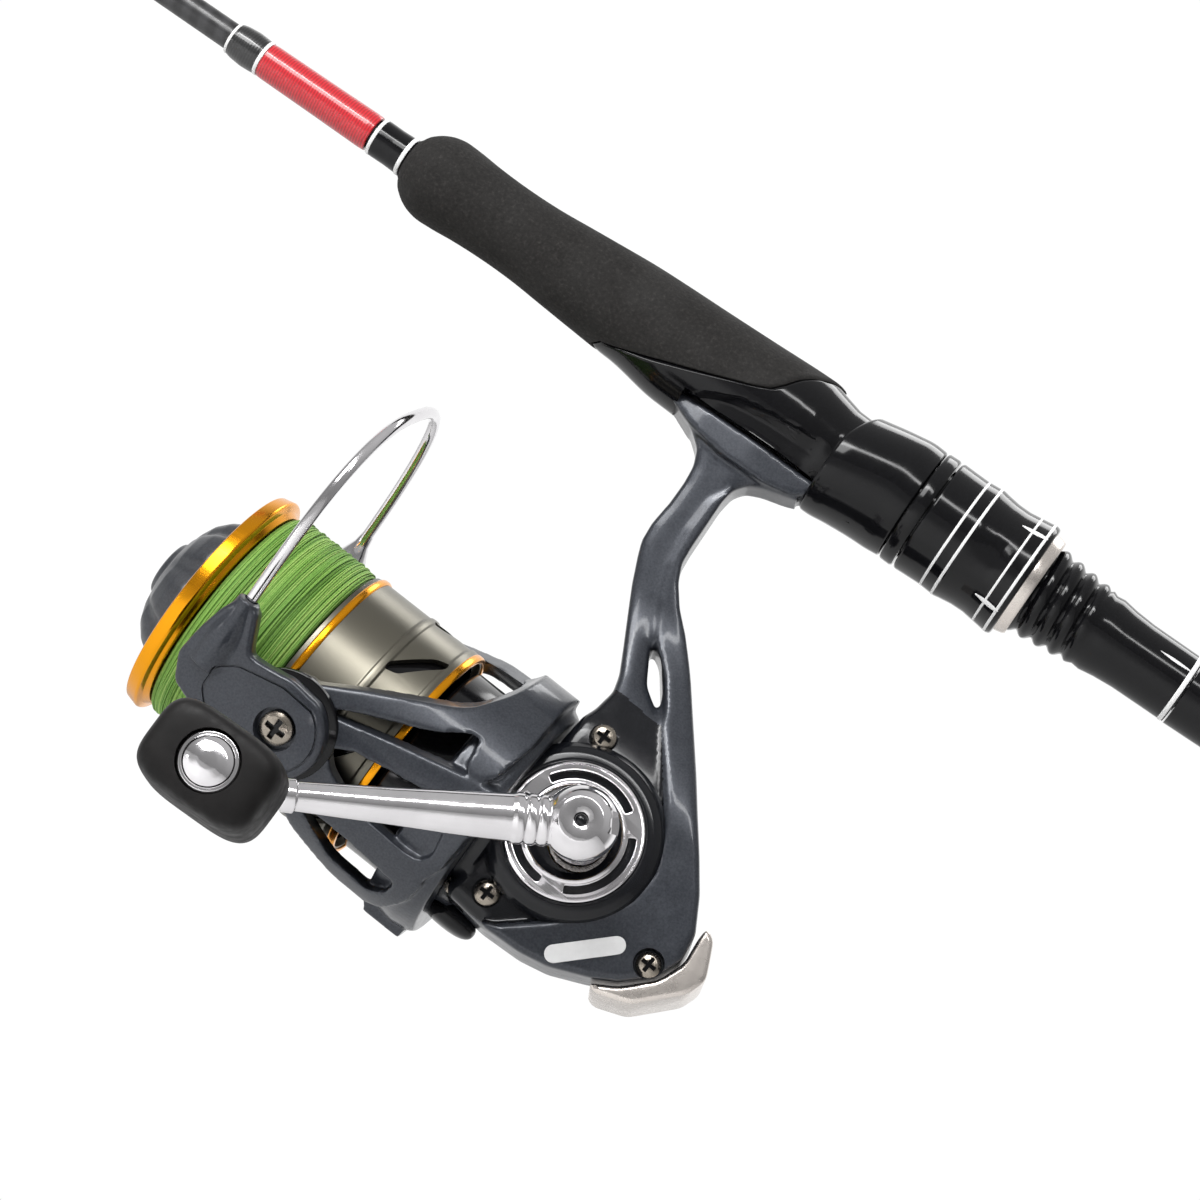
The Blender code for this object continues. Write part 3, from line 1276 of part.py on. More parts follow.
TIP_SLIDE = empty("tip_slide", None, (FERRULE_X, 0, 0))
HOOD_SLIDE = empty("hood_slide", None, (REEL_X, 0, 0))
NUT_TURN = empty("nut_turn", None, (NUT_FRONT, 0, 0))
REEL = empty("reel_frame", None, (REEL_X, 0, REEL_Z), (0, -REEL_TILT, 0))
CRANK = empty("crank_axis", REEL, (0, 0, DRIVE_OFFSET))
KNOB_PLACE = (
    math.cos(math.radians(CRANK_ANGLE)) * CRANK_LENGTH,
    0,
    math.sin(math.radians(CRANK_ANGLE)) * CRANK_LENGTH,
)
KNOB = empty("knob_axis", CRANK, KNOB_PLACE)
KNOB_TURN = empty("knob_turn", KNOB, (0, 0, 0), (0, 3, 0))
ROTOR_SPIN = empty("rotor_axis", REEL, (0, 0, 0), (ARM_ANGLE, 0, 0))
BAIL = empty("bail_axis", ROTOR_SPIN, (PIVOT_S, 0, 0))
ROLLER = empty("roller_axis", BAIL, (WIRE_S - PIVOT_S, -28.8, 0))
SHAFT_SLIDE = empty("shaft_axis", REEL)
SPOOL = empty("spool_axis", SHAFT_SLIDE)
DRAG = empty("drag_axis", SHAFT_SLIDE)
OSC_SPIN = empty("oscillation_axis", REEL, (OSC_S, 0, OSC_Z))
LEVER_PIVOT = empty("lever_axis", REEL, (LEVER_S, 0, 0))

make_blanks()
make_butt()
make_foregrip()
make_front_trim()
make_seat()
make_moving_hood()
make_guides()
make_tip_top()
make_body()
make_side_cover()
make_cover_screws()
make_boss_ring()
make_rear_cover()
make_lever()
make_drive_gear()
make_bearings()
make_pinion()
make_oscillation()
make_rotor()
make_bail()
make_spool()
make_drag_knob()
make_handle()
make_knob()
make_screw_cap()
merge_flats(PARTS.objects)
bpy.context.view_layer.update()
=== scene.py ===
"""Looks of the spinning rod and reel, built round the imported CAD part.

Local shapes are drawn in millimetres in the frame of the part that they belong to, and are put in
place by that frame's matrix, so every mesh is stored in the row frame in metres.
"""

import math

import bmesh
import bpy
import numpy as np
from mathutils import Matrix, Vector


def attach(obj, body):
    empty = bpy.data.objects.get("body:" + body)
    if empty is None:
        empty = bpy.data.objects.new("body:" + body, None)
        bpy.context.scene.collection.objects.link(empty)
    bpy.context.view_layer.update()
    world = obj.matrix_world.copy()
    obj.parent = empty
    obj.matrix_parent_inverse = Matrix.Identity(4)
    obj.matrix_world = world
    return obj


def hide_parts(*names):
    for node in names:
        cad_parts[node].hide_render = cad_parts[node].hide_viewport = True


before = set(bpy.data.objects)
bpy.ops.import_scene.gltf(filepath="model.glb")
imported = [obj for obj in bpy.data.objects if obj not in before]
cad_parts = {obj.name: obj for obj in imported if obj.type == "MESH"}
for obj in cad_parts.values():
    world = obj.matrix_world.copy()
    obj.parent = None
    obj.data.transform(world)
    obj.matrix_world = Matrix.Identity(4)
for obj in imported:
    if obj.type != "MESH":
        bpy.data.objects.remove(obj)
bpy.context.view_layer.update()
MM = 0.001


# ---------------------------------------------------------------- frames

def move(x, y, z):
    return Matrix.Translation((x * MM, y * MM, z * MM))


def spin(angle, axis):
    return Matrix.Rotation(math.radians(angle), 4, axis)


CRANK_ANGLE = math.radians(-34.3)
CRANK_LENGTH = 61.0
ROD = Matrix.Identity(4)
REEL = move(284.5, 0, -94.3) @ spin(-3, "Y")
CRANK = REEL @ move(0, 0, 5.5)
EYE = (CRANK_LENGTH * math.cos(CRANK_ANGLE), CRANK_LENGTH * math.sin(CRANK_ANGLE))
BOSS = CRANK @ move(1.5, 0, 0.3)
KNOB = CRANK @ move(EYE[0], 0, EYE[1]) @ spin(3, "Y")
ROTOR = REEL @ spin(-26.5, "X")
FAR_ARM = ROTOR @ spin(180, "X")
PIVOT_X = 53.0
BAIL = ROTOR @ move(PIVOT_X, 0, 0)
FAR_BAIL = BAIL @ spin(180, "X")


# ---------------------------------------------------------------- materials

def tree(name, rough, metal=0.0, coat=0.0, coat_rough=0.08, specular=0.5):
    look = bpy.data.materials.new(name)
    look.use_nodes = True
    shader = look.node_tree.nodes["Principled BSDF"]
    shader.inputs["Roughness"].default_value = rough
    shader.inputs["Metallic"].default_value = metal
    shader.inputs["Coat Weight"].default_value = coat
    shader.inputs["Coat Roughness"].default_value = coat_rough
    shader.inputs["Specular IOR Level"].default_value = specular
    shader.inputs["Coat IOR"].default_value = 1.4
    return look


def shader_of(look):
    return look.node_tree.nodes["Principled BSDF"]


def span_node(nodes, low, high, to_low, to_high):
    """A node that maps the range low to high onto the range to_low to to_high."""
    span = nodes.new("ShaderNodeMapRange")
    limits = {"From Min": low, "From Max": high, "To Min": to_low, "To Max": to_high}
    for name, value in limits.items():
        span.inputs[name].default_value = value
    return span


def texture(look, kind, scale, stretch=(1, 1, 1), space="Object", detail=4.0, rough=0.55):
    nodes = look.node_tree.nodes
    links = look.node_tree.links
    where = nodes.new("ShaderNodeTexCoord")
    mapping = nodes.new("ShaderNodeMapping")
    mapping.inputs["Scale"].default_value = stretch
    links.new(where.outputs[space], mapping.inputs["Vector"])
    made = nodes.new("ShaderNodeTex" + kind)
    links.new(mapping.outputs["Vector"], made.inputs["Vector"])
    made.inputs["Scale"].default_value = scale
    if kind == "Noise":
        made.inputs["Detail"].default_value = detail
        made.inputs["Roughness"].default_value = rough
    return made


def colour(look, texture_node, stops):
    """Base colour from a texture through a ramp of (place, colour) stops."""
    ramp = look.node_tree.nodes.new("ShaderNodeValToRGB")
    while len(ramp.color_ramp.elements) < len(stops):
        ramp.color_ramp.elements.new(0.5)
    for element, (place, tint) in zip(ramp.color_ramp.elements, stops):
        element.position = place
        element.color = (*tint, 1.0)
    look.node_tree.links.new(texture_node.outputs[0], ramp.inputs["Fac"])
    look.node_tree.links.new(ramp.outputs["Color"], shader_of(look).inputs["Base Color"])


def rough_from(look, texture_node, low, high):
    span = span_node(look.node_tree.nodes, 0.3, 0.7, low, high)
    look.node_tree.links.new(texture_node.outputs[0], span.inputs["Value"])
    look.node_tree.links.new(span.outputs["Result"], shader_of(look).inputs["Roughness"])


def bump(look, texture_node, depth_mm, strength):
    node = look.node_tree.nodes.new("ShaderNodeBump")
    node.inputs["Strength"].default_value = strength
    node.inputs["Distance"].default_value = depth_mm * MM
    look.node_tree.links.new(texture_node.outputs[0], node.inputs["Height"])
    look.node_tree.links.new(node.outputs["Normal"], shader_of(look).inputs["Normal"])


def metal(name, tint, low, high, stretch=(1, 1, 1), space="Object", scale=900.0, depth=0.004, spread=0.12):
    """A metal whose colour and gloss drift slightly, with fine tool marks."""
    look = tree(name, low, 1.0)
    drift = texture(look, "Noise", 120.0 if space == "Object" else 0.2)
    darker = tuple(value * (1.0 - spread) for value in tint)
    lighter = tuple(min(value * (1.0 + spread), 1.0) for value in tint)
    colour(look, drift, [(0.35, darker), (0.65, lighter)])
    marks = texture(look, "Noise", scale, stretch, space)
    rough_from(look, marks, low, high)
    bump(look, marks, depth, 0.4)
    return look


def paint(name, dark, light, low, high, metallic, coat, specular=0.5):
    """Sprayed paint: fine flake in the colour, a faint orange peel, and a clear coat."""
    look = tree(name, low, metallic, coat, 0.1, specular)
    colour(look, texture(look, "Noise", 2600.0, detail=2.0), [(0.3, dark), (0.7, light)])
    rough_from(look, texture(look, "Noise", 260.0), low, high)
    bump(look, texture(look, "Noise", 700.0), 0.012, 0.35)
    return look


def make_looks():
    looks = {}
    foam = tree("eva_foam_grain", 0.85, specular=0.3)
    colour(foam, texture(foam, "Noise", 1500.0, detail=8.0, rough=0.7),
           [(0.3, (0.008, 0.0075, 0.0072)), (0.55, (0.017, 0.0158, 0.015)), (0.75, (0.04, 0.037, 0.035))])
    rough_from(foam, texture(foam, "Noise", 90.0), 0.72, 0.95)
    bump(foam, texture(foam, "Voronoi", 1700.0), 0.1, 0.6)
    looks["foam"] = foam
    looks["black"] = paint("gloss_black_lacquer", (0.0025, 0.0025, 0.003), (0.005, 0.005, 0.006), 0.1,
            0.18, 0.0, 0.3, 0.2)
    looks["grey"] = paint("body_grey_paint", (0.025, 0.028, 0.036), (0.044, 0.049, 0.06), 0.3, 0.42,
                          0.45, 0.5)
    looks["dark"] = paint("dark_plate_paint", (0.0035, 0.004, 0.0055), (0.0065, 0.007, 0.0095), 0.16,
                          0.26, 0.1, 0.35, 0.3)
    looks["knob_grey"] = paint("drag_knob_paint", (0.026, 0.028, 0.033), (0.046, 0.05, 0.058), 0.34,
            0.46, 0.2, 0.3)
    rubber = tree("soft_rubber", 0.5, specular=0.22)
    colour(rubber, texture(rubber, "Noise", 160.0), [(0.3, (0.0045, 0.004, 0.004)),
            (0.7, (0.0095, 0.0085, 0.0085))])
    rough_from(rubber, texture(rubber, "Noise", 420.0), 0.42, 0.62)
    bump(rubber, texture(rubber, "Noise", 2600.0), 0.02, 0.5)
    looks["rubber"] = rubber
    looks["chrome"] = metal("polished_chrome", (0.8, 0.785, 0.8), 0.07, 0.16, scale=300.0, depth=0.006,
            spread=0.05)
    looks["steel"] = metal("satin_steel", (0.5, 0.48, 0.46), 0.2, 0.36, (1, 1, 6))
    looks["screw"] = metal("screw_steel", (0.36, 0.32, 0.27), 0.18, 0.34)
    looks["bronze"] = metal("cut_bronze", (0.5, 0.34, 0.14), 0.25, 0.42)
    looks["gold"] = metal("gold_anodising", (0.9, 0.36, 0.012), 0.16, 0.26, (1, 0.02, 1), "UV", 6.0,
                          0.004, 0.12)
    looks["spool"] = metal("spool_aluminium", (0.17, 0.16, 0.13), 0.26, 0.42, (0.02, 3, 1), "UV", 5.0,
            0.004, 0.14)
    looks["pale"] = metal("pale_metal_guard", (0.78, 0.72, 0.67), 0.24, 0.32, scale=500.0, depth=0.0015,
                          spread=0.03)
    looks["guide"] = metal("guide_steel_satin", (0.3, 0.3, 0.31), 0.2, 0.34)
    looks["line"] = braid()
    looks["red"] = wrap_look("red_thread_wrap", (0.36, 0.002, 0.008), (0.6, 0.006, 0.018))
    looks["black_wrap"] = wrap_look("black_thread_wrap", (0.003, 0.003, 0.003), (0.011, 0.011, 0.012))
    white = tree("white_paint", 0.35, coat=0.5)
    colour(white, texture(white, "Noise", 700.0), [(0.3, (0.77, 0.77, 0.77)), (0.7, (0.82, 0.82, 0.82))])
    bump(white, texture(white, "Noise", 900.0), 0.002, 0.4)
    looks["white"] = white
    ceramic = tree("guide_ceramic_polish", 0.08, specular=0.7)
    colour(ceramic, texture(ceramic, "Noise", 500.0),
           [(0.3, (0.012, 0.012, 0.016)), (0.7, (0.03, 0.03, 0.036))])
    rough_from(ceramic, texture(ceramic, "Noise", 300.0), 0.05, 0.12)
    looks["ceramic"] = ceramic
    looks["blank"] = carbon()
    return looks


def braid():
    """Braided line: each strand has its own tone, with a fine plait along it."""
    look = tree("braided_line_fibre", 0.62, specular=0.35)
    nodes, links = look.node_tree.nodes, look.node_tree.links
    tone = nodes.new("ShaderNodeAttribute")
    tone.attribute_name = "tone"
    fibres = texture(look, "Noise", 1800.0)
    mixed = nodes.new("ShaderNodeMath")
    mixed.operation = "MULTIPLY_ADD"
    mixed.inputs[1].default_value = 0.4
    links.new(fibres.outputs[0], mixed.inputs[0])
    links.new(tone.outputs["Fac"], mixed.inputs[2])
    colour(look, mixed, [(0.1, (0.03, 0.08, 0.01)), (0.45, (0.12, 0.27, 0.04)), (0.75, (0.2, 0.38, 0.07)),
                         (1.0, (0.36, 0.52, 0.14))])
    bump(look, fibres, 0.05, 0.7)
    return look


def wrap_look(name, dark, light):
    """Thread wound round the rod under a thick clear coat."""
    look = tree(name, 0.35, coat=1.0, coat_rough=0.04)
    threads = texture(look, "Wave", 0.55, (0, 1, 0), "UV")
    threads.bands_direction = "Y"
    threads.inputs["Distortion"].default_value = 0.4
    colour(look, threads, [(0.1, dark), (0.9, light)])
    bump(look, threads, 0.05, 0.6)
    return look


def carbon():
    """Sanded graphite blank: wound tape bands that catch the light unevenly."""
    look = tree("graphite_blank", 0.34, coat=0.35, coat_rough=0.2)
    bands = texture(look, "Wave", 0.16, (0.12, 1, 0), "UV")
    bands.inputs["Distortion"].default_value = 1.2
    bands.bands_direction = "DIAGONAL"
    colour(look, bands, [(0.2, (0.012, 0.012, 0.013)), (0.8, (0.03, 0.03, 0.032))])
    rough_from(look, texture(look, "Noise", 900.0), 0.28, 0.5)
    bump(look, texture(look, "Noise", 1600.0), 0.02, 0.5)
    return look


LOOKS = make_looks()


# ---------------------------------------------------------------- shape helpers

def linked(name, data):
    obj = bpy.data.objects.new(name, data)
    bpy.context.scene.collection.objects.link(obj)
    return obj


def drawn_mesh(name, points, faces, place):
    mesh = bpy.data.meshes.new(name)
    mesh.from_pydata([tuple(place @ Vector((x * MM, y * MM, z * MM))) for x, y, z in points], [], faces)
    return mesh


def face_out(mesh, weld=0.0):
    """Turn the faces outwards, after welding points that are nearer than the given distance in metres."""
    cage = bmesh.new()
    cage.from_mesh(mesh)
    if weld:
        bmesh.ops.remove_doubles(cage, verts=cage.verts, dist=weld)
    bmesh.ops.recalc_face_normals(cage, faces=cage.faces)
    cage.to_mesh(mesh)
    cage.free()


def raw(name, points, faces, place):
    """An object from local points in millimetres, with faces turned outwards."""
    mesh = drawn_mesh(name, points, faces, place)
    face_out(mesh, 1e-7)
    return linked(name, mesh)


def piece(obj, look, body, nodes=(), angle=40):
    """Finish a piece: its material, the body that it rides on and the CAD nodes that it stands for."""
    obj.data.materials.clear()
    obj.data.materials.append(LOOKS[look])
    obj.data.shade_smooth()
    obj.data.set_sharp_from_angle(angle=math.radians(angle))
    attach(obj, body)
    if nodes:
        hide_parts(*nodes)
    return obj


def soften(profile, radius, closed, steps=3):
    """Round each corner of a polyline by a small curve."""
    count = len(profile)
    out = []
    for i, (a, r) in enumerate(profile):
        if not closed and i in (0, count - 1):
            out.append((a, r))
            continue
        before = np.array(profile[i - 1], float)
        after = np.array(profile[(i + 1) % count], float)
        here = np.array((a, r), float)
        back, ahead = before - here, after - here
        lengths = np.linalg.norm(back), np.linalg.norm(ahead)
        reach = min(radius, 0.45 * lengths[0], 0.45 * lengths[1])
        start = here + back / max(lengths[0], 1e-9) * reach
        end = here + ahead / max(lengths[1], 1e-9) * reach
        for k in range(steps + 1):
            t = k / steps
            out.append(tuple((1 - t) ** 2 * start + 2 * t * (1 - t) * here + t * t * end))
    return out


def rounded(outline, radius, steps=3):
    """Round each corner of a closed outline."""
    return soften(outline, radius, True, steps)


def spline(points, step):
    """A smooth curve through the points, sampled about every step along the first number."""
    points = np.array(points, float)
    order = np.sign(points[-1, 0] - points[0, 0])
    xs, rs = points[:, 0] * order, points[:, 1:]
    slopes = np.gradient(rs, xs, axis=0)
    wanted = np.arange(xs[0], xs[-1], step)
    wanted = np.append(wanted, xs[-1])
    out = []
    for x in wanted:
        i = min(max(np.searchsorted(xs, x) - 1, 0), len(xs) - 2)
        h = xs[i + 1] - xs[i]
        t = (x - xs[i]) / h
        value = ((2 * t ** 3 - 3 * t ** 2 + 1) * rs[i] + (t ** 3 - 2 * t ** 2 + t) * h * slopes[i]
                 + (-2 * t ** 3 + 3 * t ** 2) * rs[i + 1] + (t ** 3 - t ** 2) * h * slopes[i + 1])
        out.append((x * order, *value))
    return out


AXES = {
    "X": lambda a, r, t: (a, r * math.cos(t), r * math.sin(t)),
    "Y": lambda a, r, t: (r * math.cos(t), a, -r * math.sin(t)),
    "Z": lambda a, r, t: (r * math.cos(t), r * math.sin(t), a),
}


def lathe(name, profile, place, segments, axis="X", soft=0.0, shape=None):
    """A turned piece from (along, radius) points: solid where both ends reach the axis, else a ring.

    shape(a, t, r) gives a new (a, r) at angle t.
    """
    solid = profile[0][1] == 0 and profile[-1][1] == 0
    if soft:
        profile = soften(profile, soft, not solid)
    points, rows, texture_rows = [], [], []
    travelled = 0.0
    for i, (a, r) in enumerate(profile):
        if i:
            travelled += math.dist(profile[i - 1], (a, r))
        texture_rows.append(travelled)
        if r == 0:
            rows.append([len(points)] * segments)
            points.append(AXES[axis](a, 0.0, 0.0))
            continue
        row = []
        for j in range(segments):
            t = 2 * math.pi * j / segments - 0.75 * math.pi
            a2, r2 = shape(a, t, r) if shape else (a, r)
            row.append(len(points))
            points.append(AXES[axis](a2, r2, t))
        rows.append(row)
    width = 2 * math.pi * max(r for _, r in profile)
    faces, marks = [], []
    last = len(rows) - 1 if solid else len(rows)
    for i in range(last):
        low, high = rows[i], rows[(i + 1) % len(rows)]
        v0, v1 = texture_rows[i], texture_rows[i + 1] if i + 1 < len(rows) else texture_rows[i] + 1.0
        for j in range(segments):
            k = (j + 1) % segments
            corners = [(low[j], j, v0), (low[k], j + 1, v0), (high[k], j + 1, v1), (high[j], j, v1)]
            kept = []
            for corner in corners:
                if not kept or corner[0] != kept[-1][0]:
                    kept.append(corner)
            if kept[0][0] == kept[-1][0]:
                kept.pop()
            if len(kept) > 2:
                faces.append([c[0] for c in kept])
                marks.append([(c[1] / segments * width, c[2]) for c in kept])
    mesh = drawn_mesh(name, points, faces, place)
    layer = mesh.uv_layers.new(name="turned")
    for polygon, mark in zip(mesh.polygons, marks):
        for loop, uv in zip(polygon.loop_indices, mark):
            layer.data[loop].uv = uv
    face_out(mesh)
    return linked(name, mesh)


def drill(end, start, radius, place, segments, axis="X"):
    """A plain round tool between two places on the axis."""
    return lathe("drill", [(end, 0.0), (end, radius), (start, radius), (start, 0.0)], place, segments, axis)


def slab(name, outlines, low, high, place, bevel, steps=3):
    """A plate with rounded edges: outlines in local X and Z, later ones are holes, from Y low to high."""
    curve = bpy.data.curves.new(name, "CURVE")
    curve.dimensions = "2D"
    curve.fill_mode = "BOTH"
    curve.extrude = max(0.5 * (high - low) - bevel, 0.001) * MM
    curve.bevel_depth = bevel * MM
    curve.bevel_resolution = steps - 1
    curve.offset = -bevel * MM
    for outline in outlines:
        line = curve.splines.new("POLY")
        line.points.add(len(outline) - 1)
        for point, (x, z) in zip(line.points, outline):
            point.co = (x * MM, z * MM, 0.0, 1.0)
        line.use_cyclic_u = True
    drawn = linked(name, curve)
    mesh = bpy.data.meshes.new_from_object(drawn.evaluated_get(bpy.context.evaluated_depsgraph_get()))
    bpy.data.objects.remove(drawn)
    mesh.transform(place @ move(0, 0.5 * (high + low), 0) @ spin(90, "X"))
    face_out(mesh, 2e-6)
    return linked(name, mesh)


def tube_faces(rows, sides, first=0):
    """Faces between rings of points that follow each other, from the first point's number on."""
    faces = []
    for i in range(rows):
        low, high = first + i * sides, first + (i + 1) * sides
        for j in range(sides):
            k = (j + 1) % sides
            faces.append([low + j, low + k, high + k, high + j])
    return faces


def sweep(name, path, place, segments):
    """A closed rod along (x, y, z, radius) points."""
    points = np.array([p[:3] for p in path], float)
    radii = [p[3] for p in path]
    tangents = np.gradient(points, axis=0)
    tangents /= np.linalg.norm(tangents, axis=1)[:, None]
    side = np.cross(tangents[0], (0.0, 0.0, 1.0))
    if np.linalg.norm(side) < 1e-3:
        side = np.cross(tangents[0], (1.0, 0.0, 0.0))
    side /= np.linalg.norm(side)
    verts = []
    for centre, tangent, radius in zip(points, tangents, radii):
        side = side - tangent * side.dot(tangent)
        side /= np.linalg.norm(side)
        up = np.cross(tangent, side)
        for j in range(segments):
            t = 2 * math.pi * j / segments
            verts.append(tuple(centre + radius * (math.cos(t) * side + math.sin(t) * up)))
    rows = len(points) - 1
    faces = tube_faces(rows, segments)
    faces += [list(range(segments)), list(range(rows * segments, len(points) * segments))]
    return raw(name, verts, faces, place)


def block(name, low, high, place):
    x0, y0, z0 = low
    x1, y1, z1 = high
    points = [(x, y, z) for x in (x0, x1) for y in (y0, y1) for z in (z0, z1)]
    faces = [[0, 1, 3, 2], [4, 6, 7, 5], [0, 4, 5, 1], [2, 3, 7, 6], [0, 2, 6, 4], [1, 5, 7, 3]]
    return raw(name, points, faces, place)


def apply(obj):
    """Keep the modifiers' result as the mesh."""
    graph = bpy.context.evaluated_depsgraph_get()
    mesh = bpy.data.meshes.new_from_object(obj.evaluated_get(graph))
    obj.modifiers.clear()
    obj.data = mesh
    return obj


def boolean(obj, operation, *others):
    for other in others:
        modifier = obj.modifiers.new("b", "BOOLEAN")
        modifier.operation = operation
        modifier.solver = "MANIFOLD"
        modifier.object = other
        apply(obj)
        bpy.data.objects.remove(other)
    return obj


def cut(obj, *others):
    return boolean(obj, "DIFFERENCE", *others)


def merge(name, parts):
    """One object that holds all the parts' faces."""
    cage = bmesh.new()
    for part in parts:
        cage.from_mesh(part.data)
        bpy.data.objects.remove(part)
    mesh = bpy.data.meshes.new(name)
    cage.to_mesh(mesh)
    cage.free()
    return linked(name, mesh)


def remesh(obj, voxel, smoothing):
    modifier = obj.modifiers.new("remesh", "REMESH")
    modifier.mode = "VOXEL"
    modifier.voxel_size = voxel * MM
    if smoothing:
        even = obj.modifiers.new("smooth", "SMOOTH")
        even.factor = 0.5
        even.iterations = smoothing
    return apply(obj)


def cast(name, parts, voxel, smoothing):
    """Fuse overlapping parts into one casting with small fillets where they meet."""
    return remesh(merge(name, parts), voxel, smoothing)


def ease(value, low, high):
    t = min(max((value - low) / (high - low), 0.0), 1.0)
    return t * t * (3 - 2 * t)


def circle(x, z, radius, count, start=0.0, end=360.0):
    whole = end - start >= 360.0
    steps = count if whole else count - 1
    return [(x + radius * math.cos(math.radians(start + (end - start) * i / steps)),
             z + radius * math.sin(math.radians(start + (end - start) * i / steps))) for i in range(count)]


def band(name, at, width, radius, place=ROD):
    """A thin raised band painted round a turned piece."""
    half = 0.5 * width
    return lathe(name, [(at - half, radius - 0.4), (at - half, radius), (at - half + 0.12, radius + 0.06),
                        (at + half - 0.12, radius + 0.06), (at + half, radius), (at + half, radius - 0.4)],
                 place, 96)


# ---------------------------------------------------------------- rod

SEAM = [(-90, 337.5), (-70, 335.9), (-55, 330.3), (-38, 323.0), (-19, 313.7), (-6, 307.2), (2, 304.3),
        (14, 302.5), (29.5, 300.9), (44, 298.9), (52, 297.4), (90, 293.0)]
GRIP = [(292.0, 10.7), (298.0, 10.7), (310.0, 10.35), (320.0, 10.1), (328.0, 9.95), (336.0, 9.7),
        (343.0, 9.2), (350.0, 8.65), (357.0, 8.1), (364.0, 7.95), (371.0, 8.2), (376.0, 8.6),
        (379.5, 8.6), (382.0, 7.9), (384.0, 6.7), (385.4, 5.3), (386.0, 4.2)]
SEAT = [(286.0, 8.6), (289.0, 8.75), (292.0, 9.5), (295.0, 10.3), (298.0, 10.65), (306.0, 10.7),
        (318.0, 10.55), (326.0, 10.2), (335.0, 9.75), (340.0, 9.4)]
LEAF_TOP = [(289.0, -11.5), (293.8, -14.3), (300.4, -16.3), (307.9, -21.6), (314.2, -36.9), (317.5, -60.0)]
LEAF_LOW = [(289.0, -57.5), (292.8, -50.6), (297.9, -47.2), (303.4, -47.2), (310.0, -52.0), (317.5, -64.0)]


def table_value(pairs, value):
    return float(np.interp(value, [p[0] for p in pairs], [p[1] for p in pairs]))


def near_angle(t):
    """The angle above the horizontal, in degrees, on either side of the rod."""
    return math.degrees(math.asin(max(-1.0, min(1.0, math.sin(t)))))


def seam_x(t):
    return table_value(SEAM, near_angle(t))


def grid_rod(name, station, shares, segments=120):
    """A sleeve whose stations depend on the angle: station(share, t) gives (x, radius)."""
    points, faces = [], []
    for share in shares:
        for j in range(segments):
            t = 2 * math.pi * j / segments
            x, r = station(share, t)
            points.append((x, r * math.cos(t), r * math.sin(t)))
    rows = len(shares)
    for i in range(rows):
        for j in range(segments):
            k, n = (j + 1) % segments, (i + 1) % rows
            faces.append([i * segments + j, i * segments + k, n * segments + k, n * segments + j])
    return raw(name, points, faces, ROD)


def make_grip():
    curve = spline(GRIP, 0.5)
    bore, front = 3.6, 386.0

    def station(share, t):
        if share < 0:
            return (front, bore) if share < -1.5 else (seam_x(t) + 0.3, bore)
        x = seam_x(t) + 0.25 + (front - 0.1 - seam_x(t)) * share
        r = table_value(curve, x)
        edge = (x - seam_x(t) - 0.25) / 0.8
        return x, r - (0.35 * (1 - edge) ** 2 if edge < 1 else 0.0)

    shares = [-1, *np.linspace(0, 0.02, 5), *np.linspace(0.03, 0.9, 70), *np.linspace(0.905, 1, 24), -2]
    piece(grid_rod("grip_foam", station, shares), "foam", "root", ["foregrip"])


def seat_radius(x, t):
    """The seat's radius: fuller underneath, with a sunk leaf on each side."""
    r = table_value(SEAT, x)
    under = max(-math.sin(t), 0.0) ** 1.5
    r += under * 1.1 * ease(x, 334.0, 322.0) if x > 322.0 else under * 1.1
    phi = near_angle(t)
    if 289.0 < x < 317.5:
        low, top = table_value(LEAF_LOW, x), table_value(LEAF_TOP, x)
        share = (phi - low) / max(top - low, 1.0)
        if 0 < share < 1:
            r -= 2.2 * min(share, 1 - share) ** 0.5 * ease(x, 289.0, 293.0) * ease(x, 317.5, 310.0)
    return r


def make_seat():
    bore, rear = 4.6, 286.2

    def station(share, t):
        if share < 0:
            return (rear, bore) if share < -1.5 else (seam_x(t) - 0.35, bore)
        front = seam_x(t) - 0.15
        x = front + (rear - front) * share
        r = seat_radius(x, t)
        edge = (front - x) / 0.7
        return x, r - (0.3 * (1 - edge) ** 2 if edge < 1 else 0.0)

    shares = [-1, *np.linspace(0, 0.04, 5), *np.linspace(0.05, 1, 90), -2]
    shell = grid_rod("seat_shell", station, shares, 160)
    cut(shell, block("deck", (280, -20, -30), (317.6, 20, -8.0), ROD),
        block("pocket", (316, -3.8, -10.3), (325.6, 3.8, -7.0), ROD))
    piece(shell, "black", "root", ["reel_seat"])
    profile = [(292.0, 8.6), (262.0, 8.6), (257.0, 8.7)]
    pitch = 3.1
    profile += [(x, 9.4) for x in np.arange(255.8, 232.0, -0.25)]
    profile += [(231.5, 7.9), (230.6, 7.5), (229.0, 7.7), (226.0, 7.25), (222.0, 6.95), (214.0, 6.9),
                (211.0, 6.9), (211.0, 4.4), (292.0, 4.4)]

    def thread(a, t, r):
        if not 231.9 < a < 256.6 or r < 5:
            return a, r
        crest = table_value([(232.0, 8.1), (245.0, 9.4), (257.0, 9.4)], a)
        wave = 0.5 + 0.5 * math.cos(2 * math.pi * (a / pitch - t / (2 * math.pi)))
        return a, crest - 1.0 * (1 - wave ** 0.6)

    piece(lathe("seat_barrel", profile, ROD, 96, shape=thread), "black", "root", ["reel_seat"],
          60)
    piece(band("seat_band", 211.7, 0.9, 6.95), "white", "root")
    tick("barrel_tick", 211.6, 218.6, 18.0, lambda x: 6.93, "root")


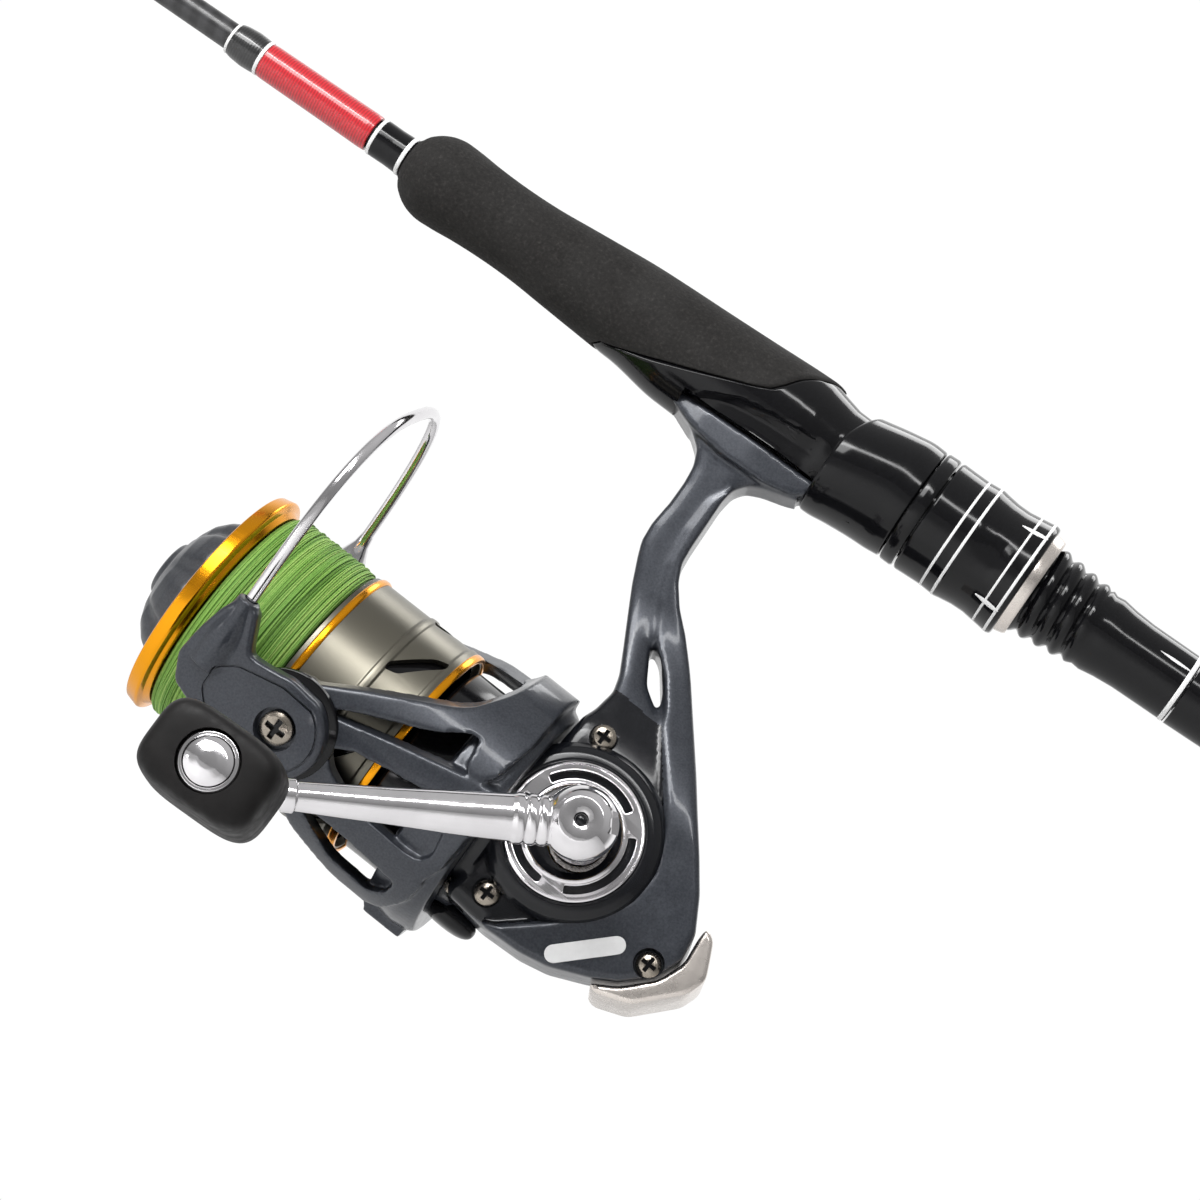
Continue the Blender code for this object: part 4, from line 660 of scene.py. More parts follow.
def make_hood():
    keys = [(271.2, 11.45, 0.0), (273.0, 11.62, 0.0), (278.0, 11.6, -0.35), (283.0, 11.4, -1.0),
            (286.5, 11.15, -1.55), (288.4, 10.8, -1.8)]
    curve = spline(keys, 0.25)
    xs, rs, shifts = zip(*curve)
    bore, rear = 9.0, 271.2

    def front(t):
        return 288.4 - 3.2 * max(math.sin(t), 0.0) ** 1.3

    def station(share, t):
        if share < 0:
            return (rear, bore) if share < -1.5 else (front(t), bore)
        x = front(t) + (rear - front(t)) * share
        r = float(np.interp(x, xs, rs)) - float(np.interp(x, xs, shifts)) * -math.sin(t)
        r += 0.22 * math.sin(2.0 * t + (x - 272.0) / 5.2) * ease(x, 272.5, 276.0)
        edge = min((front(t) - x) / 0.7, (x - rear) / 0.4)
        return x, r - (0.35 * (1 - edge) ** 2 if edge < 1 else 0.0)

    shares = [-1, *np.linspace(0, 0.06, 6), *np.linspace(0.08, 0.96, 40), *np.linspace(0.97, 1, 5), -2]
    hood = grid_rod("hood_shell", station, shares, 144)
    cut(hood, block("pocket", (278.6, -4.7, -10.9), (292, 4.7, -4), ROD))
    piece(hood, "black", "sliding_hood", ["moving_hood"])
    collar = [(270.9, 9.65), (270.9, 11.35), (270.6, 11.6), (268.6, 11.65), (268.2, 11.4), (268.2, 9.65)]
    piece(lathe("hood_collar", collar, ROD, 96), "black", "sliding_hood", ())


def make_nut():
    profile = [(267.8, 9.75), (267.8, 11.3), (267.4, 11.62), (264.0, 11.5), (261.9, 11.45), (258.6, 11.7),
               (257.6, 11.5), (255.0, 11.15), (252.5, 11.1), (250.6, 11.35), (248.6, 11.6), (246.9, 11.85),
               (246.2, 11.6), (246.0, 11.2), (246.0, 10.5), (246.6, 9.75)]

    def fluted(a, t, r):
        if not 251.0 < a < 258.0 or r < 10.5:
            return a, r
        depth = 0.35 * ease(a, 251.0, 253.0) * ease(a, 258.0, 256.0)
        return a, r - depth * max(math.cos(3 * t + 0.6), 0.0) ** 3

    piece(lathe("nut_shell", profile, ROD, 120, soft=0.25, shape=fluted), "black",
          "locking_nut", ["hood_nut"], 60)
    for number, (at, radius, width) in enumerate(((261.7, 11.46, 0.55), (259.1, 11.68, 0.55),
            (250.0, 11.42, 0.5), (247.3, 11.8, 0.6))):
        piece(band(f"nut_band_{number}", at, width, radius), "white", "locking_nut")
    waist = [(245.8, 11.3), (247.3, 11.86), (250.0, 11.46), (253.0, 11.15), (256.0, 11.25)]
    tick("nut_tick_upper", 246.4, 252.2, 33.0, lambda x: table_value(waist, x) + 0.02, "locking_nut")
    tick("nut_tick_lower", 246.4, 252.2, -52.0, lambda x: table_value(waist, x) + 0.02, "locking_nut")
    sleeve = [(247.0, 9.75), (247.0, 10.6), (245.6, 10.5), (244.2, 10.2), (243.8, 9.9), (243.9, 9.72)]
    piece(lathe("nut_sleeve", sleeve, ROD, 96, soft=0.2), "pale", "locking_nut", ())


def tick(name, start, end, angle, radius, body):
    """A short pointed mark painted along the rod."""
    count = 14
    points = []
    for i in range(count + 1):
        share = i / count
        x = start + (end - start) * share
        half = 2.6 * math.sin(math.pi * min(max(share, 0.04), 0.96)) ** 0.7
        for side, lift in ((-half, 0.0), (0.0, 0.1), (half, 0.0), (0.0, -0.5)):
            t = math.radians(angle + side)
            r = radius(x) + lift
            points.append((x, r * math.cos(t), r * math.sin(t)))
    ends = [[0, 1, 2, 3], [4 * count + k for k in range(4)]]
    piece(raw(name, points, tube_faces(count, 4) + ends, ROD), "white", body)


def make_front_trim():
    check = [(394.2, 3.2), (394.2, 3.65), (393.0, 3.8), (390.0, 3.75), (387.4, 3.85), (386.3, 4.0),
             (386.3, 3.2)]
    piece(lathe("check_collar", check, ROD, 64, soft=0.3), "black", "root", ["winding_check"])
    piece(band("check_band_rear", 387.0, 0.8, 3.95), "white", "root")
    piece(band("check_band_front", 393.7, 0.7, 3.78), "white", "root")
    wrap = [(420.0, 3.1), (420.0, 3.42), (419.0, 3.52), (407.0, 3.6), (396.0, 3.72), (394.6, 3.62),
            (394.6, 3.1)]
    piece(lathe("wrap_red", wrap, ROD, 64, soft=0.4), "red", "root", ["decorative_wrap"])
    bulge = [(427.2, 3.05), (427.2, 3.2), (426.0, 3.5), (423.5, 3.72), (421.4, 3.6), (420.3, 3.4),
             (420.3, 3.05)]
    piece(lathe("wrap_black", bulge, ROD, 64, soft=0.4), "black_wrap", "root", ["decorative_wrap"])
    piece(band("wrap_band_rear", 420.4, 0.7, 3.5), "white", "root")
    piece(band("wrap_band_front", 427.3, 0.6, 3.2), "white", "root")


def make_blanks():
    lower = [(905.0, 1.1), (905.0, 1.9), (904.5, 2.0), (850.0, 2.0), (849.6, 2.15), (849.0, 2.2),
             (640.0, 2.45), (430.0, 2.7), (6.0, 4.2), (6.0, 3.3), (430.0, 1.8)]
    piece(lathe("blank_butt", lower, ROD, 40), "blank", "root", ["blank_lower"])
    tip = [(1643.0, 0.0), (1643.0, 0.85), (1642.6, 0.9), (1400.0, 1.48), (1150.0, 2.1), (905.0, 2.7),
           (859.0, 2.95), (857.6, 3.05), (857.2, 3.25), (856.6, 3.3), (851.0, 3.3), (850.4, 3.15),
           (850.3, 2.3), (907.0, 2.3), (908.0, 0.0)]
    piece(lathe("blank_top", tip, ROD, 40), "blank", "tip_section", ["blank_tip"])
    piece(band("ferrule_band", 852.0, 0.8, 3.3), "white", "tip_section")
    piece(band("ferrule_band_front", 856.0, 0.8, 3.3), "white", "tip_section")


def make_butt():
    cap = [(14.0, 0.0), (14.0, 12.2), (12.5, 12.9), (8.0, 13.3), (4.0, 13.5), (1.2, 13.1), (0.0, 11.7),
           (0.0, 7.5), (0.5, 7.0), (0.5, 0.0)]

    def grooved(a, t, r):
        return a, r - (0.3 * max(math.cos(24 * t), 0) if 3 < a < 12 and r > 12 else 0)

    butt = lathe("butt_rubber", cap, ROD, 96, soft=0.5, shape=grooved)
    cut(butt, drill(16.0, 5.6, 4.8, ROD, 48))
    piece(butt, "rubber", "root", ["butt_cap"], 60)
    grip = [(14.3, 12.7), (22.0, 12.4), (34.0, 11.3), (52.0, 10.0), (76.0, 9.6), (90.0, 9.0),
            (94.6, 8.3), (96.0, 7.4)]
    outer = list(reversed(spline(grip, 1.0)))
    piece(lathe("butt_foam", [(96.0, 4.5), *outer, (14.3, 4.5)], ROD, 96), "foam", "root",
          ["butt_grip"])
    sleeve = [(96.3, 7.2), (99.0, 7.0), (108.0, 6.4), (130.0, 6.15), (160.0, 6.1), (189.0, 6.5), (205.0, 6.9),
              (210.7, 7.0)]
    outer = list(reversed(spline(sleeve, 2.0)))
    piece(lathe("sleeve_lacquer", [(210.7, 4.4), *outer, (96.3, 4.4)], ROD, 72), "black", "root",
          ["rear_sleeve"])
    for number, at in enumerate((98.0, 101.0)):
        piece(band(f"sleeve_band_{number}", at, 0.7, table_value(sleeve, at)), "white", "root")


LOWER_TAPER = [(430.0, 2.7), (850.0, 2.2)]
UPPER_TAPER = [(905.0, 2.7), (1650.0, 0.9)]


def make_guides():
    stations = [(1, 520.0, 9.0, 21.0, "root"), (2, 720.0, 6.2, 15.5, "root"),
                (3, 960.0, 4.4, 11.5, "tip_section"), (4, 1180.0, 3.4, 9.0, "tip_section"),
                (5, 1390.0, 2.8, 7.5, "tip_section")]
    for number, x, radius, depth, body in stations:
        blank = table_value(LOWER_TAPER if body == "root" else UPPER_TAPER, x)
        place = ROD @ move(x, 0, 0)
        hoop = [(1.0, radius + 0.35), (0.95, radius + 0.9), (0.6, radius + 1.3), (-0.6, radius + 1.3),
                (-0.95, radius + 0.9), (-1.0, radius + 0.35)]
        parts = [lathe("hoop", hoop, place @ move(0, 0, -depth), 72, soft=0.2)]
        leg = 0.55 * (radius + 1.1)
        for side in (-1, 1):
            path = [(0.0, side * leg * 1.45, -depth + radius * 0.72),
                    (0.6, side * leg, -0.5 * (depth - radius) - blank), (1.6, side * 1.2, -blank - 1.0),
                    (3.2, side * 0.7, -blank - 0.75)]
            path = [(p[1], p[2], p[3]) for p in spline([(i, *p) for i, p in enumerate(path)], 0.12)]
            parts.append(sweep("leg", [(*p, 0.62) for p in path], place, 12))
        foot = [(0.4, -0.9), (3.0, -1.2), (7.0 + radius, -0.5), (7.0 + radius, 0.5), (3.0, 1.2), (0.4, 0.9)]
        parts.append(slab("foot", [rounded(foot, 0.5)], blank + 0.2, blank + 1.1, place @ spin(-90, "X"),
                          0.25))
        piece(cast(f"guide_hoop_{number}", parts, 0.22, 3), "guide", body, [f"guide_frame_{number}"],
              60)
        lining = [(1.15, radius - 0.45), (0.9, radius + 0.05), (0.7, radius + 0.3), (-0.7, radius + 0.3),
                  (-0.9, radius + 0.05), (-1.15, radius - 0.45), (-0.8, radius - 0.95), (0.0, radius - 1.1),
                  (0.8, radius - 0.95)]
        piece(lathe(f"guide_lining_{number}", lining, place @ move(0, 0, -depth), 64, soft=0.2),
              "ceramic", body, [f"guide_ring_{number}"], 60)
        end = 8.0 + radius
        binding = [(1.8, blank - 0.2), (1.8, blank + 0.1), (3.4, blank + 0.75), (end - 2.0, blank + 0.7),
                   (end + 2.0, blank + 0.1), (end + 2.0, blank - 0.2)]
        piece(lathe(f"guide_binding_{number}", binding, place, 48, soft=0.5, shape=lambda a, t, r: (a,
                r + (0.45 * max(-math.sin(t), 0) ** 2 if r > blank else 0))), "black_wrap", body, ())
        piece(band(f"guide_trim_{number}", end + 1.0, 1.0, blank + 0.32, place), "red", body, ())
    tube = [(1648.0, 0.0), (1648.0, 1.1), (1647.6, 1.35), (1636.0, 1.55), (1630.6, 1.6), (1630.0, 1.4),
            (1630.0, 0.0)]
    loop = [(1649.4, 2.5), (1649.1, 3.3), (1648.5, 3.6), (1647.9, 3.3), (1647.6, 2.5), (1648.5, 2.3)]
    top = cast("tip_loop", [lathe("tube", tube, ROD, 40),
            lathe("loop", loop, ROD @ move(0, 0, -4.0), 56, soft=0.3)], 0.15, 2)
    cut(top, drill(1643.6, 1629.0, 1.22, ROD, 32))
    piece(top, "guide", "tip_section", ["tip_top"], 60)


# ---------------------------------------------------------------- reel body

STEM_FRONT = [(35.0, 81.5), (32.0, 79.6), (29.2, 77.6), (27.7, 74.5), (27.1, 71.2), (26.8, 66.1),
              (27.0, 61.2), (26.4, 57.4), (25.2, 54.7), (22.8, 50.0), (19.8, 44.9), (16.7, 39.7),
              (13.8, 34.7), (12.6, 31.3), (13.0, 26.6)]
STEM_REAR = [(2.8, 41.9), (5.3, 44.6), (9.1, 48.4), (12.9, 51.6), (16.1, 55.3), (17.8, 58.5), (18.3, 61.8),
             (18.8, 67.7), (19.2, 72.1), (18.9, 75.6), (17.5, 77.8), (14.8, 79.2), (11.0, 80.4), (8.0, 81.5)]
HEEL = [(4.2, -17.2), (-4.0, -16.8), (-9.6, -15.6), (-16.4, -12.6), (-21.0, -9.8), (-25.6, -5.0),
        (-27.4, 0.0), (-26.6, 5.1), (-22.9, 11.1), (-18.7, 16.4), (-13.3, 22.8), (-8.8, 28.3),
        (-3.0, 35.1)]
PLATE_EDGE = [(4.6, -16.6), (2.3, -15.4), (-4.0, -9.7), (-10.0, -3.3), (-13.5, 2.7), (-13.8, 9.4),
              (-10.5, 16.4), (-4.1, 24.6), (1.4, 31.3), (3.3, 34.7), (7.2, 39.5), (12.2, 43.6),
              (17.0, 50.4), (19.9, 57.0), (21.0, 64.0), (21.2, 71.0)]
SCREWS = [(8.2, 22.9), (7.1, -12.0), (-23.3, -4.2)]


def tapered(obj):
    """Narrow the casting from the gear case up into the stem."""
    local = REEL.inverted()
    for vertex in obj.data.vertices:
        point = local @ vertex.co
        z = point.z / MM
        point.y *= 1.0 - 0.66 * ease(z, 17.0, 50.0)
        if point.y < 0 and z < 6.0:
            point.z += 3.4 * MM * min(-point.y / MM / 15.0, 1.0) * ease(z, 6.0, -8.0)
        vertex.co = REEL @ point
    return obj


def make_body():
    outline = STEM_FRONT + [(13.8, 24.0), (14.0, 18.0), (14.0, -15.0), (12.6, -16.4)] + HEEL + STEM_REAR
    window = rounded([(13.4, 43.6), (8.6, 36.2), (3.6, 33.0), (5.4, 36.8), (9.8, 42.0)], 1.0)
    case = slab("case", [outline, window], -15.8, 14.2, REEL, 2.6, 4)
    rim = slab("rim", [PLATE_EDGE + list(reversed(STEM_REAR[:10])) + list(reversed(HEEL))], 9.0, 15.6,
               REEL, 1.0, 3)
    rim = cut(rim, slab("window", [window], 5.0, 20.0, REEL, 0.01, 1))
    wall = tapered(cast("wall", [case, rim], 0.45, 3))
    foot_plan = rounded([(277.0, -4.4), (289.0, -5.0), (300.0, -6.6), (313.0, -5.8), (318.5, -4.7),
                         (325.0, -4.2), (325.0, 4.2), (318.5, 4.7), (313.0, 5.8), (300.0, 6.6),
                         (289.0, 5.0), (277.0, 4.4)], 2.0)
    foot_side = rounded([(276.6, -8.3), (276.6, -10.4), (288.0, -11.0), (290.5, -12.9), (296.0, -14.2),
                        (305.0, -14.2), (313.0, -12.8), (318.4, -10.6), (325.4, -9.6), (325.4, -8.3)], 0.7)
    foot = boolean(slab("foot", [foot_plan], 8.3, 16.0, ROD @ spin(-90, "X"), 0.6),
                   "INTERSECT", slab("side", [foot_side], -9.0, 9.0, ROD, 0.01, 1))
    collar = lathe("collar", [(24.0, 0.0), (24.0, 17.2), (23.2, 18.0), (12.0, 18.0), (12.0, 0.0)], REEL, 72)
    boss = lathe("boss", [(-12.0, 0.0), (-12.0, 9.5), (-15.8, 8.6), (-19.4, 7.2), (-20.0, 6.6),
                          (-20.0, 0.0)], CRANK, 56, "Y")
    casting = cast("body_casting", [wall, foot, collar, boss], 0.42, 7)
    hollow = [slab("slides", [[(4.0, -8.0), (-21.9, -6.6), (-21.9, 10.4), (-14.0, 17.0), (4.0, 17.0)]],
                   -13.8, 9.0, REEL, 0.01, 1), drill(9.2, -13.6, 16.8, CRANK, 64, "Y"),
              drill(14.6, 9.0, 12.5, REEL, 64), drill(26.0, 15.0, 9.0, REEL, 56),
              drill(-12.0, -16.8, 5.8, CRANK, 48, "Y"), drill(-15.0, -22.0, 3.5, CRANK, 40, "Y"),
              lathe("ring_seat", [(30.0, 0.0), (30.0, 12.8), (13.8, 12.8), (13.8, 5.8), (8.0, 5.8),
            (8.0, 0.0)], CRANK, 56, "Y"),]
    for s, z in SCREWS:
        hollow.append(lathe("seat", [(20.0, 0.0), (20.0, 3.3), (14.0, 2.7), (12.9, 2.6), (12.9, 0.0)],
                            REEL @ move(s, 0, z), 32, "Y"))
    cut(casting, *hollow)
    cover = linked("cover_casting", casting.data.copy())
    boolean(cover, "INTERSECT", block("half", (-40, 6.25, -30), (13.95, 30, 27.5), REEL))
    cut(casting, block("half", (-40, 6.15, -30), (13.95, 30, 27.5), REEL))
    piece(casting, "grey", "root", ["body_housing"], 50)
    piece(cover, "grey", "root", ["side_cover"], 50)
    darken(cover)
    darken(casting)
    ring = [(17.2, 12.7), (17.35, 13.2), (17.1, 14.4), (16.3, 15.5), (14.8, 16.6), (13.0, 16.9), (13.0, 8.8),
            (15.4, 8.8), (15.6, 12.6)]
    piece(lathe("cover_boss", ring, BOSS, 96, "Y", 0.3), "dark", "root", ["side_cover"])


def inside(x, z, polygon):
    hit = False
    for (x0, z0), (x1, z1) in zip(polygon, polygon[1:] + polygon[:1]):
        if (z0 > z) != (z1 > z) and x < (x1 - x0) * (z - z0) / (z1 - z0) + x0:
            hit = not hit
    return hit


def darken(obj):
    """The sunk plate in front of the rim has the darker paint."""
    obj.data.materials.append(LOOKS["dark"])
    local = REEL.inverted()
    polygon = [(x + 0.15, z) for x, z in PLATE_EDGE[:9]] + [(16.0, 32.0), (16.0, -17.0)]
    for face in obj.data.polygons:
        point = local @ face.center / MM
        if point.y > 6.0 and point.x < 15.0 and inside(point.x, point.z, polygon):
            face.material_index = 1


def make_body_details():
    for number, (s, z) in enumerate(SCREWS, 1):
        screw("cover_screw_head", number, REEL @ move(s, 0, z), 14.9, 2.3, "root", [f"cover_screw_{number}"])
    screw("front_screw_head", 4, REEL @ move(13.0, 0, -14.4), 12.6, 1.7, "root", ())
    kidneys = [rounded(circle(0, 0, 11.1, 24, a, a + 94) + list(reversed(circle(0, 0, 9.7, 24, a, a + 94))),
                       0.6) for a in (28, 148, 268)]
    plate = slab("ring_plate", [circle(0, 0, 12.5, 96), circle(0, 0, 8.5, 72), *kidneys], 15.9, 17.5,
                 BOSS, 0.25)
    piece(plate, "chrome", "root", ["boss_ring"], 50)
    rim = [(17.4, 8.6), (17.9, 8.75), (18.0, 9.0), (17.8, 9.3), (17.3, 9.4)]
    piece(lathe("ring_inner_rim", rim, BOSS, 96, "Y"), "chrome", "root", ())
    outer = [(17.3, 12.0), (17.7, 12.1), (17.8, 12.35), (17.6, 12.6), (17.2, 12.6)]
    piece(lathe("ring_outer_rim", outer, BOSS, 96, "Y"), "chrome", "root", ())
    dish = [(16.4, 9.3), (16.0, 12.2), (15.3, 12.3), (14.9, 7.2), (15.3, 7.1), (15.8, 8.2)]
    piece(lathe("ring_dish", dish, BOSS, 80, "Y"), "dark", "root", ())
    length, width = 7.3, 1.65
    pill = [(x + length - width, z) for x, z in circle(0, 0, width, 14, -90, 90)]
    pill += [(x - length + width, z) for x, z in circle(0, 0, width, 14, 90, 270)]
    place = REEL @ move(-12.9, 0, -9.2) @ spin(46, "Y")
    piece(slab("rim_badge", [pill], 15.2, 15.95, place, 0.15), "white", "root", ())
    heel = rounded([(-18.9, -13.9), (-25.0, -11.6), (-31.8, -4.0), (-33.0, 0.0), (-31.2, 3.6),
                    (-29.6, 6.6), (-27.4, 7.6), (-27.3, 5.2), (-28.0, 0.0), (-26.2, -5.2),
                    (-21.4, -10.4), (-16.8, -13.2)], 1.2)
    piece(slab("heel_guard", [heel], -13.6, 13.2, REEL, 0.9, 4), "pale", "root", ["rear_cover"])
    points = []
    down, across = 20, 36
    for i in range(down + 1):
        v = math.pi * i / down
        for j in range(across):
            t = 2 * math.pi * j / across
            flat = abs(math.sin(v)) ** 0.75
            z = math.copysign(abs(math.cos(v)) ** 0.8, math.cos(v))
            points.append((1.7 + 5.7 * flat * math.cos(t), 4.4 * flat * math.sin(t), -18.3 + 2.3 * z))
    faces = tube_faces(down, across)
    pivot = REEL @ move(9.3, 0, 0)
    pin = drill(-14.2, -18.0, 1.4, pivot, 24, "Z")
    lever = remesh(raw("lever_paddle", points, faces, pivot), 0.25, 0)
    piece(boolean(lever, "UNION", pin), "black", "lever", ["anti_reverse_lever"], 60)


def screw(name, number, place, top, radius, body, nodes, low=11.5):
    """A dome-headed screw with a cross recess."""
    head = [(top, 0.0), (top - 0.05, 0.4 * radius), (top - 0.3, 0.75 * radius), (top - 0.75, radius),
            (top - 1.5, radius), (top - 1.9, 0.7 * radius), (low, 0.6 * radius), (low, 0.0)]
    made = lathe(f"{name}_{number}", head, place, 40, "Y", 0.12)
    arm, half = 0.64 * radius, 0.17 * radius
    for across, up in ((arm, half), (half, arm)):
        cut(made, slab("cross", [rounded([(-across, -up), (across, -up), (across, up), (-across, up)],
                0.08, 2)], top - 1.3, top + 1.0, place, 0.01, 1))
    # The black slab at the floor of the cross recess is painted shade in the recess.
    floor = [(-arm, -half), (-half, -half), (-half, -arm), (half, -arm), (half, -half), (arm, -half),
             (arm, half), (half, half), (half, arm), (-half, arm), (-half, half), (-arm, half)]
    piece(slab(f"{name}_recess_{number}", [floor], top - 1.32, top - 1.1, place, 0.02, 1), "black", body)
    piece(made, "screw", body, nodes, 35)


# ---------------------------------------------------------------- rotor and bail

def make_rotor():
    cup = [(25.4, 23.3), (25.4, 24.7), (22.0, 25.0), (19.0, 25.4), (15.5, 24.9), (14.5, 24.2),
           (14.5, 18.5), (24.5, 18.5), (24.5, 3.2), (31.0, 3.2), (31.0, 6.0), (28.2, 7.2), (27.6, 18.6),
           (26.4, 20.0), (17.5, 20.0), (17.5, 23.3)]
    parts = [lathe("cup", cup, ROTOR, 96)]
    rail = [(57.0, 6.5), (53.0, 9.0), (44.8, 13.4), (37.3, 16.8), (31.1, 19.5), (28.7, 20.9), (27.2, 22.6),
            (25.2, 24.8), (23.6, 27.6), (16.6, 27.6), (16.0, 21.6), (17.2, 15.2), (18.4, 13.6), (22.6, 13.2),
            (24.0, 18.4), (26.5, 17.6), (30.3, 15.2), (34.1, 13.5), (43.2, 9.9), (46.4, 8.4), (52.0, 4.0)]
    centre = [(50.0, 5.6), (47.2, 6.6), (34.7, 9.8), (23.0, 12.4), (15.2, 13.6), (14.6, 6.6), (15.2, -3.0),
              (17.2, -8.4), (19.9, -9.6), (40.4, -8.5), (49.0, -6.0)]
    slot = [(44.0, 1.8), (40.0, 4.2), (22.4, 7.2), (18.8, 3.0), (17.9, -2.0), (19.3, -4.2), (22.6, -4.8),
            (34.8, -4.2), (41.5, -1.2)]
    strut = [(54.0, -6.0), (50.0, -10.4), (42.3, -16.3), (31.9, -20.1), (24.0, -20.5), (20.6, -18.6),
             (17.4, -13.6), (16.2, -7.4), (20.0, -6.0), (46.0, -5.0)]
    vent = [(43.4, -10.4), (33.5, -16.2), (24.6, -17.0), (21.4, -14.6), (20.8, -11.4), (34.0, -10.2)]
    for place in (ROTOR, FAR_ARM):
        solids = [slab("rail", [rounded(rail, 0.8)], -8.0, 31.0, place, 0.01, 1),
                  slab("centre", [rounded(centre, 1.2), rounded(slot, 1.0)], 3.0, 31.0,
                       place, 0.01, 1),
                  slab("strut", [rounded(strut, 1.2), rounded(vent, 0.8)], 3.0, 31.0, place,
                       0.01, 1),
                  slab("crown", [circle(PIVOT_X, 0.0, 9.1, 56)], 3.0, 31.0, place, 0.01, 1)]
        for solid in solids:
            shell = lathe("shell", [(64.0, 27.2), (13.0, 27.2), (13.0, 23.6), (64.0, 23.6)], ROTOR, 128)
            parts.append(boolean(solid, "INTERSECT", shell))
    rotor = cast("rotor_casting", parts, 0.4, 5)
    cut(rotor, *[drill(30.0, 20.0, 1.9, place, 32, "Y") for place in (BAIL, FAR_BAIL)])
    piece(rotor, "grey", "rotor_assembly", ["rotor"], 50)
    liner = [(34.4, 18.6), (34.4, 19.6), (33.8, 19.85), (24.2, 19.85), (24.2, 18.6)]
    piece(lathe("rotor_liner", liner, ROTOR, 96), "black", "rotor_assembly", ())
    for number, place in ((1, BAIL), (2, FAR_BAIL)):
        # A thin black disc under each bail arm's boss is painted shade: it stands for the shadow gap between
        # the boss and the rotor crown.
        shadow_disc = [(27.45, 2.0), (27.45, 9.9), (27.2, 10.2), (26.6, 10.3), (26.6, 2.0)]
        piece(lathe(f"crown_shadow_disc_{number}", shadow_disc, place, 72, "Y"), "black", "rotor_assembly", ())
        screw("bail_screw_head", number, place, 31.2, 3.15, "rotor_assembly", [f"bail_screw_{number}"],
              low=24.5)


def grown(outline, amount):
    """The outline moved outwards by an amount."""
    points = np.array(outline, float)
    along = np.roll(points, -1, axis=0) - np.roll(points, 1, axis=0)
    normal = np.stack([along[:, 1], -along[:, 0]], axis=1)
    normal /= np.linalg.norm(normal, axis=1)[:, None]
    shoelace = np.sum(points[:, 0] * np.roll(points[:, 1], -1) - np.roll(points[:, 0], -1) * points[:, 1])
    return [tuple(point) for point in points + math.copysign(amount, amount * shoelace) * normal]


def bail_plate(name, place, outline, panel, extra, nodes):
    plate = slab("plate", [outline], 27.6, 31.2, place, 0.8, 3)
    made = cast(name, [plate, *extra], 0.3, 4)
    seat = [(36.0, 0.0), (36.0, 4.3), (29.1, 3.9), (29.1, 1.95), (20.0, 1.95), (20.0, 0.0)]
    cut(made, lathe("seat", seat, place, 48, "Y"),
        slab("groove", [grown(panel, 0.22), grown(panel, -0.22)], 30.7, 34.0, place, 0.01, 1))
    return piece(made, "grey", "bail", nodes, 45)


def make_bail():
    boss = circle(0, 0, 9.2, 30, 112, 290)
    near = rounded(boss + [(12.0, -7.4), (19.9, -4.6), (22.2, 0.2), (21.5, 6.0), (20.2, 11.4), (18.6, 15.0),
                          (14.2, 15.0), (12.3, 10.5), (11.0, 7.8), (7.1, 8.2), (2.4, 9.1)], 1.0)
    panel = rounded(circle(0, 0, 7.7, 18, 118, 262) + [(12.0, -5.4), (15.0, -2.0), (15.0, 2.6), (11.6, 5.2),
                                                      (3.0, 7.2)], 0.8)
    ahead, out = 17.0, 28.8
    nose = sweep("nose", [(ahead, 29.3, 1.0 + 0.72 * k, 3.5 - 1.3 * ease(k, 8, 20)) for k in range(21)],
                 BAIL, 32)
    made = bail_plate("bail_arm_casting", BAIL, near, panel, [nose], ["bail_arm"])
    cut(made, sweep("socket", [(ahead, 28.6, z, 1.35) for z in (12.0, 14.0, 18.0)], BAIL, 24))
    far = [(x, -z) for x, z in rounded(boss + [(12.0, -6.6), (21.0, -5.0), (21.4, 2.3), (12.4, 2.3),
            (3.0, 9.2)], 1.0)]
    far_panel = [(x, -z) for x, z in rounded(circle(0, 0, 6.9, 16, 130, 250) + [(10.8, -4.4), (11.0, 1.0),
                                                                              (2.6, 6.4)], 0.8)]
    lug = sweep("lug", [(ahead, out, -2.6 + 0.31 * k, 3.6 * (0.55 + 0.45 * ease(20 - k, 0, 8)))
                        for k in range(21)], FAR_BAIL, 32)
    pin = sweep("pin", [(ahead, out, z, 1.4) for z in (-1.0, -4.0, -7.0, -10.8)], FAR_BAIL, 24)
    bail_plate("roller_arm_casting", FAR_BAIL, far, far_panel, [lug, pin], ["roller_arm"])
    roller = [(8.6, 1.75), (8.6, 3.3), (8.4, 3.65), (7.7, 3.7), (6.6, 3.15), (5.8, 3.0), (5.0, 3.15),
              (3.9, 3.7), (3.2, 3.65), (3.0, 3.3), (3.0, 1.75)]
    piece(lathe("roller_polished", roller, BAIL @ move(ahead, -out, 0), 56, "Z", 0.2), "chrome",
          "roller", ["line_roller"], 60)
    half, straight, reach, wire_radius = 28.6, 17.0, 52.0, 1.1
    path = [(ahead, half, z, wire_radius) for z in np.linspace(12.6, straight, 6)]
    for k in range(1, 96):
        angle = math.pi * k / 96
        across = math.copysign(abs(math.cos(angle)) ** 0.74, math.cos(angle))
        height = straight + (reach - straight) * math.sin(angle) ** 0.74
        path.append((ahead, across * half, height, wire_radius))
    path += [(ahead, -half, z, wire_radius) for z in (straight, 16.0)]
    cone = lathe("cone", [(19.2, 0.0), (19.2, 1.2), (17.0, 1.5), (14.6, 2.5), (13.0, 3.3), (11.6, 3.5),
                          (11.2, 3.2), (11.2, 0.0)], BAIL @ move(ahead, -out, 0), 48, "Z")
    wire = sweep("bail_wire_polished", path, BAIL, 20)
    boolean(wire, "UNION", cone)
    piece(wire, "chrome", "bail", ["bail_wire"], 50)


# ---------------------------------------------------------------- spool

